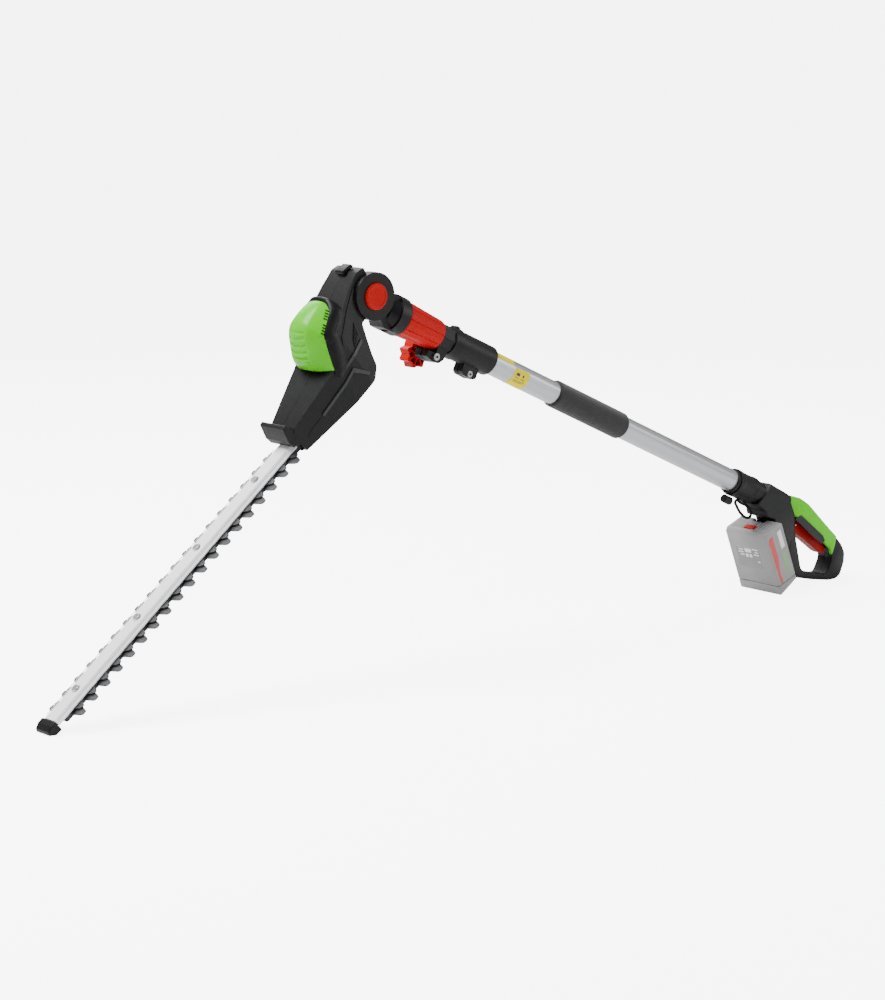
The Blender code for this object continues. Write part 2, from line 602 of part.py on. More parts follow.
def blade_loops(tooth, near_first, far_first):
    """Outline of one blade: its root round the eccentric, its teeth on both edges, and its slots."""
    near = [(-0.0820, -0.0165), (-0.1350, -0.0165), (-0.1440, -BLADE_HALF)]
    far = [(-0.0820, 0.0165), (-0.1350, 0.0165), (-0.1440, BLADE_HALF)]
    for i in range(TEETH):
        for along, out in tooth:
            near.append((-(near_first + i * PITCH + along), -out))
            far.append((-(far_first + i * PITCH + along), out))
    near.append((-BLADE_END + 0.002, -BLADE_HALF))
    near.append((-BLADE_END, -BLADE_HALF + 0.002))
    far.append((-BLADE_END + 0.002, BLADE_HALF))
    far.append((-BLADE_END, BLADE_HALF - 0.002))
    window = rounded([(-GEAR_A - 0.021, -0.0125), (-GEAR_A + 0.021, -0.0125), (-GEAR_A + 0.021, 0.0125),
                      (-GEAR_A - 0.021, 0.0125)], 0.002, 2)
    loops = [near + far[::-1], window]
    reach, half = BOLT_R + STROKE + 0.0008, BOLT_R + 0.0004
    for a in BOLTS:
        loops.append(rounded([(-a - reach, -half), (-a + reach, -half), (-a + reach, half), (-a - reach, half)],
                             half * 0.9, 2))
    return loops


def build_blades(frame):
    steel = ((0.30, 0.31, 0.32), 0.38, 0.9)
    long_tooth = [(-0.0066, BLADE_HALF), (-0.0045, LONG_TIP - 0.0040), (-0.0030, LONG_TIP - 0.0008),
                  (0.0, LONG_TIP), (0.0030, LONG_TIP - 0.0008), (0.0045, LONG_TIP - 0.0040), (0.0066, BLADE_HALF)]
    short_tooth = [(-0.0062, BLADE_HALF), (-0.0034, SHORT_TIP - 0.0020), (0.0006, SHORT_TIP),
                   (0.0036, SHORT_TIP - 0.0030), (0.0058, BLADE_HALF)]
    near = FIRST_TOOTH - STAGGER
    lower = blade_loops(long_tooth, near, FIRST_TOOTH)
    upper = blade_loops(short_tooth, near - 0.0050, FIRST_TOOTH - 0.0050)
    add("lower_blade", plate_mesh("l", lower, LOWER_N - LOWER_THICK / 2, LOWER_N + LOWER_THICK / 2, "XY"), frame, steel)
    add("upper_blade", plate_mesh("u", upper, UPPER_N - UPPER_THICK / 2, UPPER_N + UPPER_THICK / 2, "XY"), frame, steel)
    section = [(-RAIL_LOW_HALF, RAIL_BOTTOM), (RAIL_LOW_HALF, RAIL_BOTTOM), (RAIL_LOW_HALF, RAIL_BOTTOM + 0.0014),
               (RAIL_TOP_HALF, RAIL_TOP), (-RAIL_TOP_HALF, RAIL_TOP), (-RAIL_LOW_HALF, RAIL_BOTTOM + 0.0014)]
    rail = add("blade_rail", plate_mesh("r", [section], -BLADE_END - 0.0094, -0.1470, "YZ"), frame, ((0.80, 0.81, 0.82), 0.28, 0.9))
    for i, a in enumerate(BOLTS):
        cut(rail, [rod_mesh("b", "Z", -0.070, -0.050, BOLT_R + GAP, (-a, 0, 0), sides=20)])
        bolt = joined("blade_bolt_" + str(i + 1),
                      [rod_mesh("b", "Z", RAIL_TOP + GAP, RAIL_TOP + 0.0024, 0.0056, radius2=0.0042, sides=20),
                       rod_mesh("b", "Z", LOWER_N - 0.0030, RAIL_TOP + 0.0010, BOLT_R, sides=20),
                       rod_mesh("b", "Z", LOWER_N - 0.0045, LOWER_N - LOWER_THICK / 2 - GAP, 0.0052, sides=6)],
                      frame, (STEEL, 0.3, 1.0))
        bolt.location = (-a, 0.0, 0.0)
    end = BLADE_END / MM
    nose = rounded(head([(end + 9.8, -57.2), (end + 18, -57.2), (end + 24.5, -60), (end + 26.2, -64.2),
                         (end + 19, -70.6), (end + 9.8, -71.3)]), 0.0012, 2)
    guard = add("tip_guard", plate_mesh("t", [nose], -0.0140, 0.0140), frame, (BLACK, 0.5, 0.0))
    bevel(guard, 0.003, 1, 50)


# ---------------------------------------------------------------- rear handle and battery

HOUSING = [(699, -322), (708, -308.6), (751, -330), (771, -336), (788, -346), (827, -380.5), (850, -400.5),
           (863, -413), (870.5, -426), (869.5, -440), (861.5, -458), (851, -462.2), (838, -462.2),
           (798, -455.5), (754, -445.5), (746.5, -436), (716.4, -358.6), (700, -353.7), (697.8, -345.5), (684, -336)]
HOUSING_ROUND = [0, 0, 30, 20, 30, 30, 30, 20, 14, 14, 12, 3, 20, 20, 8, 2, 3, 3, 3, 0]
OPENING = [(761, -368), (779, -437), (787, -443), (832, -453.5), (845, -430), (836, -415), (803, -391), (770, -367)]
OPENING_ROUND = [2, 8, 8, 8, 12, 4, 10, 2]
GREEN_TOP = [(751, -330), (771, -336), (788, -346), (827, -380.5), (849, -399.6)]
GREEN_LOW = [(846, -412), (839.5, -428), (835.5, -416), (803, -391), (770, -367), (757, -357), (748.5, -339)]
SEAM_LINE = [(749, -335.5), (770, -341.5), (785, -350.5), (824, -385), (846.8, -405.4)]


def softened(mesh, side_y, width, segments=2):
    """Bevels the outer edges of a prism, and leaves those on its seam side."""
    bm = bmesh.new()
    bm.from_mesh(mesh)
    edges = [e for e in bm.edges if all(abs(v.co.y) > side_y - 1e-5 for v in e.verts)
             and len(e.link_faces) == 2 and e.calc_face_angle(0.0) > 0.6]
    bmesh.ops.bevel(bm, geom=edges, offset=width, offset_type="OFFSET", segments=segments, profile=0.5,
                    affect="EDGES", clamp_overlap=True, material=-1)
    return mesh_of(bm, mesh.name)


def build_housing(rear, pole):
    top = rounded(mm(GREEN_TOP), [0.0, 0.020, 0.030, 0.030, 0.0])
    green = top + rounded(mm(GREEN_LOW), [0.0, 0.003, 0.003, 0.006, 0.003, 0.002, 0.0])
    seam = rounded(mm(SEAM_LINE), [0.0, 0.018, 0.028, 0.030, 0.0])
    strip = [(x, z - GAP * 1.3) for x, z in seam]
    strip += [(0.8480, strip[-1][1] - 0.0006), (0.8524, -0.3985), (0.8530, -0.3300), (0.8000, -0.3000),
              (0.7500, -0.3050), (0.7487, -0.3250)]
    core = seam + [(0.8632, -0.4054), (0.8640, -0.4600), (0.7300, -0.4200), (0.7300, -0.3355)]
    pocket = rounded(mm([(762, -366), (775, -367), (800, -379), (841.5, -406), (841.5, -420), (803, -396),
                         (770, -384), (760, -380)]), [0.002, 0.004, 0.006, 0.004, 0, 0, 0, 0], 2)
    cavity = mm([(771, -348), (785, -357), (810, -380), (804, -383), (780, -374), (771, -368)])

    def half(name, side):
        body = softened(plate_mesh(name, [rounded(mm(HOUSING), [r * MM for r in HOUSING_ROUND], 3),
                                          rounded(mm(OPENING), [r * MM for r in OPENING_ROUND], 2)],
                                   *span(side, -0.0060, 0.0135)), 0.0135, 0.0045)
        belly = softened(plate_mesh(name, [rounded(mm([(698, -321), (708, -308.2), (740, -324.6), (753, -333), (758, -352),
                                                       (758, -385), (738, -410), (717, -359), (700, -353.7),
                                                       (697.8, -345.5), (682, -334.6)]),
                                                  [0, 0, 0.010, 0.016, 0.012, 0.02, 0.002, 0.002, 0.002, 0.002, 0])],
                                   *span(side, -0.0050, 0.0190)), 0.0190, 0.0080)
        shell = joined(name, [body, belly], rear, (BLACK, 0.42, 0.0))
        sleeve = add(name + "_nose", rod_mesh(name, "X", 0.7110, 0.7900, NOSE_R, (0, 0, -0.0045), sides=28), pole,
                     None, helper=True)
        boolean(shell, sleeve, "UNION")
        low, high = span(side, -0.05, GAP / 2)
        cut(shell, [box_mesh("b", (0.60, low, -0.50), (0.90, high, -0.25))])
        cut(shell, [rod_mesh("b", "X", 0.6900, 0.7355, TUBE_R + GAP, (0, 0, -AXIS_DROP), sides=28)], pole)
        cut(shell, [plate_mesh("b", [green], *span(side, 0.0130 - GAP, 0.0300)),
                    plate_mesh("b", [strip], -0.03, 0.03),
                    plate_mesh("b", [pocket], *span(side, -0.002, 0.0080)),
                    plate_mesh("b", [cavity], *span(side, -0.002, 0.0095))])
        smooth(shell)

    mirrored_pair("rear_housing", half)

    def cover(name, side):
        inset = [(x - 0.0004 if x > 0.8 else x + 0.0006, z) for x, z in green]
        mesh = softened(plate_mesh(name, [inset], *span(side, GAP / 2, 0.0172)), 0.0172, 0.0045)
        shell = add(name, mesh, rear, (GREEN, 0.32, 0.0))
        cut(shell, [plate_mesh("b", [core], *span(side, -0.002, 0.0130)),
                    button_mesh("b", 0.0004, 0.020)])
        smooth(shell)

    mirrored_pair("handle_cover", cover)

    def inlay(name, side):
        loop = rounded(mm([(758, -364.5), (772, -360), (817, -394), (823, -403), (816, -406.5), (796, -393),
                           (768, -371)]), [0.002, 0.003, 0.004, 0.004, 0.003, 0.004, 0.003], 2)
        mesh = plate_mesh(name, [loop], *span(side, 0.0172 + GAP, 0.0184))
        add(name, mesh, rear, (BLACK, 0.85, 0.0))

    mirrored_pair("grip_inlay", inlay)


BUTTON_AT = Vector((0.7985, 0.0, -0.3558))
BUTTON_TURN = Matrix.Rotation(math.radians(41.2), 4, "Y")


def button_mesh(name, clearance, top, depth=0.0060):
    bm = bmesh.new()
    bmesh.ops.create_cube(bm, size=1.0)
    bmesh.ops.scale(bm, vec=(0.0130 + 2 * clearance, 0.0080 + 2 * clearance, depth + top), verts=bm.verts)
    bmesh.ops.translate(bm, vec=(0.0, 0.0, (top - depth) / 2), verts=bm.verts)
    bmesh.ops.transform(bm, matrix=Matrix.Translation(BUTTON_AT) @ BUTTON_TURN, verts=bm.verts)
    return mesh_of(bm, name)


def build_controls(rear):
    button = add("lock_off_button", button_mesh("lock_off_button", 0.0, 0.0030), rear, (RED, 0.35, 0.0))
    bevel(button, 0.0006)
    for label in ("_left", "_right"):
        cut(bpy.data.objects["rear_housing" + label], [button_mesh("b", 0.0004, 0.020, 0.0092)])
    pivot = Vector((0.7690, 0.0, -0.3745))
    lever = rounded([(x - pivot.x, z - pivot.z) for x, z in mm([
        (763.5, -370), (771, -369), (803, -392), (831, -411.5), (834.5, -417), (830.5, -424), (820, -419.5),
        (797, -403), (767, -383.5)])], [0.003, 0.003, 0.006, 0.003, 0.003, 0.002, 0.004, 0.008, 0.003], 2)
    trigger = add("trigger", plate_mesh("trigger", [lever], -0.0075, 0.0075), rear, (RED, 0.35, 0.0))
    trigger.location = pivot
    cut(trigger, [rod_mesh("b", "Y", -0.02, 0.02, 0.0018, sides=16)])
    pin = add("trigger_pin", rod_mesh("trigger_pin", "Y", -0.0110, 0.0110, 0.0015, sides=16), rear, (STEEL, 0.3, 1.0))
    pin.location = pivot
    for label in ("_left", "_right"):
        cut(bpy.data.objects["rear_housing" + label],
            [rod_mesh("b", "Y", -0.0115, 0.0115, 0.0018, tuple(pivot), sides=16)])
    add("trigger_switch", plate_mesh("trigger_switch", [mm([(775, -353), (785, -359.5), (801, -374.5), (797, -378),
        (780, -371), (775, -367)])], -0.0080, 0.0080), rear, ((0.05, 0.05, 0.06), 0.5, 0.0))


def build_collar(pole):
    axis = -0.0045
    low = -COLLAR_R
    lip, waist = COLLAR_R + 0.0013, COLLAR_R + 0.0006
    profile = [(COLLAR_R, 0.7560), (lip, 0.7560), (lip, 0.7500), (waist, 0.7490), (waist, 0.7250), (lip, 0.7240),
               (lip, 0.7160), (COLLAR_R, 0.7160)]
    collar = turned("strap_collar", pole, (BLACK, 0.5, 0.0), profile, at=(0, 0, axis), closed=True)
    eye_out = rounded([(0.7285, low - 0.0063), (0.7590, low - 0.0063), (0.7680, low - 0.0095),
                       (0.7748, low - 0.0158), (0.7735, low - 0.0228), (0.7650, low - 0.0253),
                       (0.7515, low - 0.0223), (0.7375, low - 0.0153)],
                      [0.0005, 0.003, 0.004, 0.004, 0.004, 0.005, 0.010, 0.010])
    eye_in = rounded([(0.7375, low - 0.0099), (0.7585, low - 0.0099), (0.7660, low - 0.0125),
                      (0.7708, low - 0.0168), (0.7702, low - 0.0198), (0.7645, low - 0.0215),
                      (0.7530, low - 0.0189), (0.7430, low - 0.0139)],
                     [0.001, 0.003, 0.003, 0.002, 0.002, 0.003, 0.006, 0.006])
    ring = add("carry_ring", plate_mesh("carry_ring", [eye_out, eye_in], -0.0022, 0.0022), pole, (BLACK, 0.5, 0.0))
    bevel(ring, 0.0008)
    screw = joined("collar_thumb_screw", [rod_mesh("t", "X", -0.0060, 0.0080, 0.0058, sides=12),
                                          rod_mesh("t", "X", 0.0070, 0.0102, 0.0030, sides=12)], pole,
                   (BLACK, 0.45, 0.0))
    screw.location = (0.7160, 0.0, low - 0.0125)
    return collar


def build_battery(rear):
    frame = bpy.data.objects.new("battery_frame", None)
    parts.objects.link(frame)
    frame.parent = rear
    frame.location = (0.7110, 0.0, -0.3600)
    frame.rotation_euler = (0.0, -BATTERY_TILT, 0.0)
    long, thick, half = BATTERY_LONG, BATTERY_THICK, BATTERY_HALF
    outline = [(-thick, -0.0045), (-thick + 0.0045, 0.0), (-0.0004, 0.0), (-0.0004, 0.0050 - long), (-thick, 0.0050 - long)]
    case = add("battery_case", plate_mesh("battery_case", [outline], -half, half), frame, (PALE, 0.5, 0.0))
    bevel(case, 0.0019, 2, 50)
    groove = box_mesh("b", (-0.0075, -0.0105, -0.0600), (0.0100, 0.0105, 0.0100))
    room = box_mesh("b", (-thick + 0.0025, -half + 0.0030, -0.0900), (-0.0095, half - 0.0030, -0.0070))
    recess = box_mesh("b", (-0.0292, -0.0095, -0.0035), (-0.0198, 0.0095, 0.0100))
    cut(case, [groove, room, recess])
    base = [(-thick, 0.0047 - long), (-0.0004, 0.0047 - long), (-0.0004, -long - 0.0014), (-thick, -long - 0.0090)]
    foot = add("battery_base", plate_mesh("battery_base", [base], -half, half), frame, (PALE, 0.5, 0.0))
    bevel(foot, 0.0015, 2, 50)
    cells = [rod_mesh("c", "Y", -0.0325, 0.0325, 0.0092, (-0.0225, 0.0, -0.0175 - 0.0180 * i), sides=20)
             for i in range(4)]
    joined("battery_cells", cells, frame, ((0.10, 0.25, 0.16), 0.4, 0.0))
    latch = box_mesh("l", (-0.0288, -0.0091, -0.0031 + 0.0025), (-0.0202, 0.0091, 0.0012))
    button = add("battery_release_button", latch, frame, (RED, 0.4, 0.0))
    bevel(button, 0.0004)
    joined("battery_rail", [box_mesh("r", (0.0004, -0.0125, -0.0720), (0.0045, 0.0125, -0.0050)),
                            box_mesh("r", (-0.0068, -0.0098, -0.0585), (0.0010, 0.0098, -0.0120))],
           frame, (BLACK, 0.45, 0.0))


def main():
    global parts, cutters
    clear_scene()
    parts = collection("pole_hedge_trimmer")
    cutters = collection("cutters")
    hinge = (HINGE_X, 0.0, HINGE_Z)
    pole = frame_empty("pole_frame", hinge, POLE_SLOPE)
    front = frame_empty("head_frame", hinge, -BLADE_SLOPE)
    rear_pole = frame_empty("rear_pole_frame", (REAR_SHIFT, 0.0, 0.0), 0.0)
    rear = frame_empty("rear_frame", (REAR_SHIFT, 0.0, 0.0), -HANDLE_TURN)
    rear_pole.parent = pole
    rear.parent = pole
    build_tubes(pole)
    build_clamp(pole)
    build_neck(pole)
    build_head_shells(front)
    build_hinge(front)
    build_covers(front)
    build_head_trim(front)
    build_drive(front)
    build_blades(front)
    build_housing(rear, rear_pole)
    build_controls(rear)
    build_collar(rear_pole)
    build_battery(rear)


main()
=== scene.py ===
"""Looks of a cordless pole hedge trimmer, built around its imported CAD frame.

Every new piece is modelled in one of four local frames: the head's (x back towards the
hinge, z away from the blade), the pole's (x rearwards along the tube), the battery's
(z up its guide rail) and the handle's (the row's own axes, from the hinge).
"""
import json
import math

import bmesh
import bpy
from bpy.props import FloatProperty, FloatVectorProperty, IntProperty, PointerProperty
from mathutils import Matrix, Vector
from mathutils.bvhtree import BVHTree

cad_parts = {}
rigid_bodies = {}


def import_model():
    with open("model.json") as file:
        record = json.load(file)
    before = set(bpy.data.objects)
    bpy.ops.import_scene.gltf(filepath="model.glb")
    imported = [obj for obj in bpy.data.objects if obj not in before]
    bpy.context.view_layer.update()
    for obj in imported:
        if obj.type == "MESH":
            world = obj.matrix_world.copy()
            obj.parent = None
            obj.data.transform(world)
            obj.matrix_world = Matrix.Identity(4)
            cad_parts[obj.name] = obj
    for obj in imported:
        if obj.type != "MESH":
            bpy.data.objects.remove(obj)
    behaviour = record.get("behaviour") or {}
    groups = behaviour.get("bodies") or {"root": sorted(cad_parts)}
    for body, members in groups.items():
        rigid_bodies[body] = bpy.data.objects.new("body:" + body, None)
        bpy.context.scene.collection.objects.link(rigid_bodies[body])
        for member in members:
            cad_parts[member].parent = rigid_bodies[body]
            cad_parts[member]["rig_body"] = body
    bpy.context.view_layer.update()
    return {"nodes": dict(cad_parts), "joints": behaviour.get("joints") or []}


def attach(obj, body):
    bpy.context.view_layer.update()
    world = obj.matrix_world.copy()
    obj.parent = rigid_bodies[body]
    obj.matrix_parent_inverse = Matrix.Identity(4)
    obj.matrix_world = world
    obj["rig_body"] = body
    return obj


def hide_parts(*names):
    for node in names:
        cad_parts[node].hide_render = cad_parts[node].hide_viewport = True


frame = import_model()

bl_info = {
    "name": "Pole hedge trimmer",
    "version": (1, 0, 0),
    "blender": (4, 5, 0),
    "location": "View3D > Sidebar > Trimmer",
    "description": "Builds the visible pieces and finishes of a cordless pole hedge trimmer",
    "category": "Object",
}

NODES = frame["nodes"]
JOINTS = {joint["name"]: joint for joint in frame["joints"]}
ACROSS = Vector((0.0, 1.0, 0.0))
HINGE = Vector(JOINTS["head_tilt"]["pos_m"])


def axes_at(origin, along=None, up=None):
    """A local frame whose y is the row's y, given its x or its z direction."""
    along = Vector(along).normalized() if along else ACROSS.cross(Vector(up).normalized())
    up = along.cross(ACROSS)
    turn = Matrix((along, ACROSS, up)).transposed().to_4x4()
    return Matrix.Translation(origin) @ turn


def local_box(node, place):
    """Lowest and highest corner of a CAD node, measured along a local frame's axes."""
    back = place.inverted()
    points = [back @ vert.co for vert in NODES[node].data.vertices]
    return (Vector([min(p[i] for p in points) for i in range(3)]),
            Vector([max(p[i] for p in points) for i in range(3)]))


HEAD = axes_at(HINGE, along=JOINTS["upper_stroke"]["axis"])
POLE = axes_at(HINGE, along=-Vector(JOINTS["telescope"]["axis"]))
HANDLE = Matrix.Translation(HINGE)
BATTERY = axes_at(HINGE, up=-Vector(JOINTS["battery_slide"]["axis"]))
CASE_LOW, CASE_HIGH = local_box("battery_case", BATTERY)
TUBE_LOW, TUBE_HIGH = local_box("outer_tube", POLE)
TUBE_R = (TUBE_HIGH.y - TUBE_LOW.y) / 2
TUBE_AXIS = Vector((0.0, 0.0, (TUBE_LOW.z + TUBE_HIGH.z) / 2))
BOSS_HALF = local_box("head_shell_right", HEAD)[1].y
MM = 0.001
AXIS_TURN = {"X": Matrix.Rotation(math.pi / 2, 4, "Y"), "Y": Matrix.Rotation(-math.pi / 2, 4, "X"),
             "Z": Matrix.Identity(4)}


# ------------------------------------------------------------ settings

class ShellSettings(bpy.types.PropertyGroup):
    black: FloatVectorProperty(name="Shell", description="Colour of the moulded black shells", subtype="COLOR",
                               size=3, min=0.0, max=1.0, default=(0.0055, 0.0055, 0.0060))
    black_trim: FloatVectorProperty(name="Trim", description="Colour of clamps, collars and guards", subtype="COLOR",
                                    size=3, min=0.0, max=1.0, default=(0.0042, 0.0042, 0.0045))
    edge: FloatProperty(name="Edge radius", description="Rounding of the shells' outer edges", subtype="DISTANCE",
                        default=0.0014, min=0.0002, max=0.004)
    grain: FloatProperty(name="Grain size", description="Size of the moulded grain", subtype="DISTANCE",
                         default=0.0007, min=0.0002, max=0.004)


class CoverSettings(bpy.types.PropertyGroup):
    green: FloatVectorProperty(name="Green", description="Colour of the motor cover and handle covers",
                               subtype="COLOR", size=3, min=0.0, max=1.0, default=(0.085, 0.50, 0.002))
    wall: FloatProperty(name="Wall", description="Thickness of the motor cover", subtype="DISTANCE",
                        default=0.0016, min=0.0008, max=0.004)
    ridges: IntProperty(name="Ridges", description="Grip ridges across the front of the cover", default=5, min=0,
                        max=9)
    # The slots are drawn as near-black boxes of painted shade, not cut as holes.
    slots: IntProperty(name="Slots", description="Air slots in each group on the cover's sides", default=4, min=0,
                       max=8)


class ControlSettings(bpy.types.PropertyGroup):
    red: FloatVectorProperty(name="Red", description="Colour of buttons, trigger, knob and twist sleeve",
                             subtype="COLOR", size=3, min=0.0, max=1.0, default=(0.42, 0.002, 0.001))
    edge: FloatProperty(name="Edge radius", description="Rounding of the controls' edges", subtype="DISTANCE",
                        default=0.0007, min=0.0001, max=0.002)


class PoleSettings(bpy.types.PropertyGroup):
    metal: FloatVectorProperty(name="Tube", description="Colour of the anodised tubes", subtype="COLOR", size=3,
                               min=0.0, max=1.0, default=(0.44, 0.45, 0.47))
    label: FloatVectorProperty(name="Label", description="Colour of the blank labels", subtype="COLOR", size=3,
                               min=0.0, max=1.0, default=(0.72, 0.60, 0.002))
    brushing: FloatProperty(name="Brushing", description="Width of the brushed lines", subtype="DISTANCE",
                            default=0.0003, min=0.0001, max=0.002)


class BladeSettings(bpy.types.PropertyGroup):
    steel: FloatVectorProperty(name="Blade", description="Colour of the coated blade steel", subtype="COLOR",
                               size=3, min=0.0, max=1.0, default=(0.040, 0.041, 0.044))
    ground: FloatVectorProperty(name="Ground edge", description="Colour of the ground tooth ends",
                                subtype="COLOR", size=3, min=0.0, max=1.0, default=(0.115, 0.118, 0.124))
    rail: FloatVectorProperty(name="Rail", description="Colour of the blade rail", subtype="COLOR", size=3,
                              min=0.0, max=1.0, default=(0.97, 0.97, 0.97))


class BatterySettings(bpy.types.PropertyGroup):
    pale: FloatVectorProperty(name="Case", description="Colour of the pale battery case", subtype="COLOR", size=3,
                              min=0.0, max=1.0, default=(0.255, 0.250, 0.256))
    ridges: IntProperty(name="Ridges", description="Raised ridges on the top of the case", default=5, min=0, max=9)


class StageSettings(bpy.types.PropertyGroup):
    floor: FloatVectorProperty(name="Floor", description="Colour of the floor", subtype="COLOR", size=3, min=0.0,
                               max=1.0, default=(0.93, 0.93, 0.93))
    key: FloatProperty(name="Key light", description="Power of the main softbox", subtype="POWER", default=130.0,
                       min=0.0)
    fill: FloatProperty(name="Fill light", description="Power of the second softbox", subtype="POWER",
                        default=32.0, min=0.0)
    glow: FloatProperty(name="Floor glow", description="Extra brightness of the floor as the camera sees it",
                        default=6.0, min=0.0)
    sky: FloatProperty(name="Sky", description="Strength of the white surroundings", default=0.42, min=0.0)


# ------------------------------------------------------------ materials

def shader_for(name):
    """A new node material with its tree, its shader and one helper that adds and wires nodes."""
    made = bpy.data.materials.new(name)
    made.use_nodes = True
    tree = made.node_tree
    shader = tree.nodes["Principled BSDF"]

    def node(kind, settings=None, **wires):
        added = tree.nodes.new(kind)
        for key, value in (settings or {}).items():
            setattr(added, key, value)
        for key, value in wires.items():
            socket = added.inputs[int(key[1:])] if key[0] == "i" and key[1:].isdigit() else added.inputs[key]
            if hasattr(value, "is_output"):
                tree.links.new(value, socket)
            else:
                socket.default_value = value
        return added

    return made, tree, shader, node


def coords(node, size, place=None):
    """Object coordinates turned into a local frame and divided by a size, given per axis."""
    where = node("ShaderNodeTexCoord")
    size = size if isinstance(size, tuple) else (size, size, size)
    place = place or Matrix.Identity(4)
    mapped = node("ShaderNodeMapping", {"vector_type": "TEXTURE"}, Vector=where.outputs["Object"],
                  Location=place.translation, Rotation=place.to_euler(), Scale=size)
    return mapped.outputs["Vector"]


def spread(node, value, low, high, start=0.3, end=0.7):
    return node("ShaderNodeMapRange", Value=value, **{"From Min": start, "From Max": end, "To Min": low,
                                                      "To Max": high}).outputs["Result"]


def two_tone(node, factor, first, second):
    mix = node("ShaderNodeMix", {"data_type": "RGBA"})
    tree = mix.id_data
    tree.links.new(factor, mix.inputs[0])
    for socket, colour in ((mix.inputs[6], first), (mix.inputs[7], second)):
        if hasattr(colour, "is_output"):
            tree.links.new(colour, socket)
        else:
            socket.default_value = (*colour, 1.0)
    return mix.outputs[2]


def shaded(colour, factor):
    return tuple(min(1.0, c * factor) for c in colour)


def moulded(name, colour, roughness=0.5, grain=0.0007, depth=0.00006, tone=0.16, scuff=0.0, place=None, coat=0.0,
             shine=0.20):
    """Moulded plastic: a fine grain in the surface, slow colour drift, and faint rubbed patches."""
    made, tree, shader, node = shader_for(name)
    fine = node("ShaderNodeTexNoise", Vector=coords(node, grain), Scale=1.0, Detail=2.0)
    wide = node("ShaderNodeTexNoise", Vector=coords(node, 0.021), Scale=1.0, Detail=4.0)
    rub = node("ShaderNodeTexNoise", Vector=coords(node, (0.0035, 0.0035, 0.0011), place), Scale=1.0, Detail=3.0)
    body = two_tone(node, spread(node, wide.outputs[0], 0.0, 1.0), shaded(colour, 1 - tone), shaded(colour, 1 + tone))
    speck = two_tone(node, spread(node, fine.outputs[0], 0.0, 0.35, 0.45, 0.75), body, shaded(colour, 1.5))
    worn = two_tone(node, spread(node, rub.outputs[0], 0.0, scuff, 0.62, 0.78), speck,
                    tuple(c * 0.7 + 0.025 for c in colour))
    tree.links.new(worn, shader.inputs["Base Color"])
    tree.links.new(spread(node, rub.outputs[0], roughness - 0.06, roughness + 0.07), shader.inputs["Roughness"])
    bump = node("ShaderNodeBump", Strength=0.5, Distance=depth, Height=fine.outputs[0])
    tree.links.new(bump.outputs[0], shader.inputs["Normal"])
    shader.inputs["Specular IOR Level"].default_value = shine
    shader.inputs["Coat Weight"].default_value = coat
    shader.inputs["Coat Roughness"].default_value = 0.18
    return made


def brushed(name, colour, roughness=0.34, line=0.0003, place=None, metallic=0.9, tone=0.10, depth=0.00001):
    """Metal brushed along the local x direction."""
    made, tree, shader, node = shader_for(name)
    lines = node("ShaderNodeTexNoise", Vector=coords(node, (0.05, line, line), place), Scale=1.0, Detail=3.0)
    cloud = node("ShaderNodeTexNoise", Vector=coords(node, 0.03), Scale=1.0, Detail=3.0)
    body = two_tone(node, spread(node, lines.outputs[0], 0.0, 1.0), shaded(colour, 1 - tone), shaded(colour, 1 + tone))
    smudge = two_tone(node, spread(node, cloud.outputs[0], 0.0, 0.3), body, shaded(colour, 0.85))
    tree.links.new(smudge, shader.inputs["Base Color"])
    tree.links.new(spread(node, lines.outputs[0], roughness - 0.05, roughness + 0.06), shader.inputs["Roughness"])
    bump = node("ShaderNodeBump", Strength=0.4, Distance=depth, Height=lines.outputs[0])
    tree.links.new(bump.outputs[0], shader.inputs["Normal"])
    shader.inputs["Metallic"].default_value = metallic
    return made


def blade_finish(name, settings):
    """Dark coated steel whose teeth are ground bright towards their ends."""
    made, tree, shader, node = shader_for(name)
    place = coords(node, 1.0, HEAD)
    split = node("ShaderNodeSeparateXYZ", Vector=place)
    out = node("ShaderNodeMath", {"operation": "ABSOLUTE"}, i0=split.outputs[1])
    lines = node("ShaderNodeTexNoise", Vector=coords(node, (0.0004, 0.01, 0.01), HEAD), Scale=1.0, Detail=3.0)
    body = two_tone(node, spread(node, lines.outputs[0], 0.0, 1.0), shaded(settings.steel, 0.8),
                    shaded(settings.steel, 1.25))
    ends = two_tone(node, spread(node, out.outputs[0], 0.0, 1.0, 0.0160, 0.0250), body, settings.ground)
    tree.links.new(ends, shader.inputs["Base Color"])
    tree.links.new(spread(node, lines.outputs[0], 0.33, 0.46), shader.inputs["Roughness"])
    bump = node("ShaderNodeBump", Strength=0.3, Distance=0.00002, Height=lines.outputs[0])
    tree.links.new(bump.outputs[0], shader.inputs["Normal"])
    shader.inputs["Metallic"].default_value = 0.75
    return made


def foam_finish(name, colour):
    """Closed-cell foam: tiny cells, no shine."""
    made, tree, shader, node = shader_for(name)
    cells = node("ShaderNodeTexVoronoi", Vector=coords(node, 0.0009), Scale=1.0)
    wide = node("ShaderNodeTexNoise", Vector=coords(node, 0.014), Scale=1.0, Detail=3.0)
    body = two_tone(node, spread(node, wide.outputs[0], 0.0, 1.0), shaded(colour, 0.75), shaded(colour, 1.4))
    pores = two_tone(node, spread(node, cells.outputs["Distance"], 0.0, 0.8, 0.1, 0.7), body, shaded(colour, 1.9))
    tree.links.new(pores, shader.inputs["Base Color"])
    tree.links.new(spread(node, wide.outputs[0], 0.86, 0.97), shader.inputs["Roughness"])
    bump = node("ShaderNodeBump", Strength=0.7, Distance=0.00015, Height=cells.outputs["Distance"])
    tree.links.new(bump.outputs[0], shader.inputs["Normal"])
    shader.inputs["Sheen Weight"].default_value = 0.15
    return made


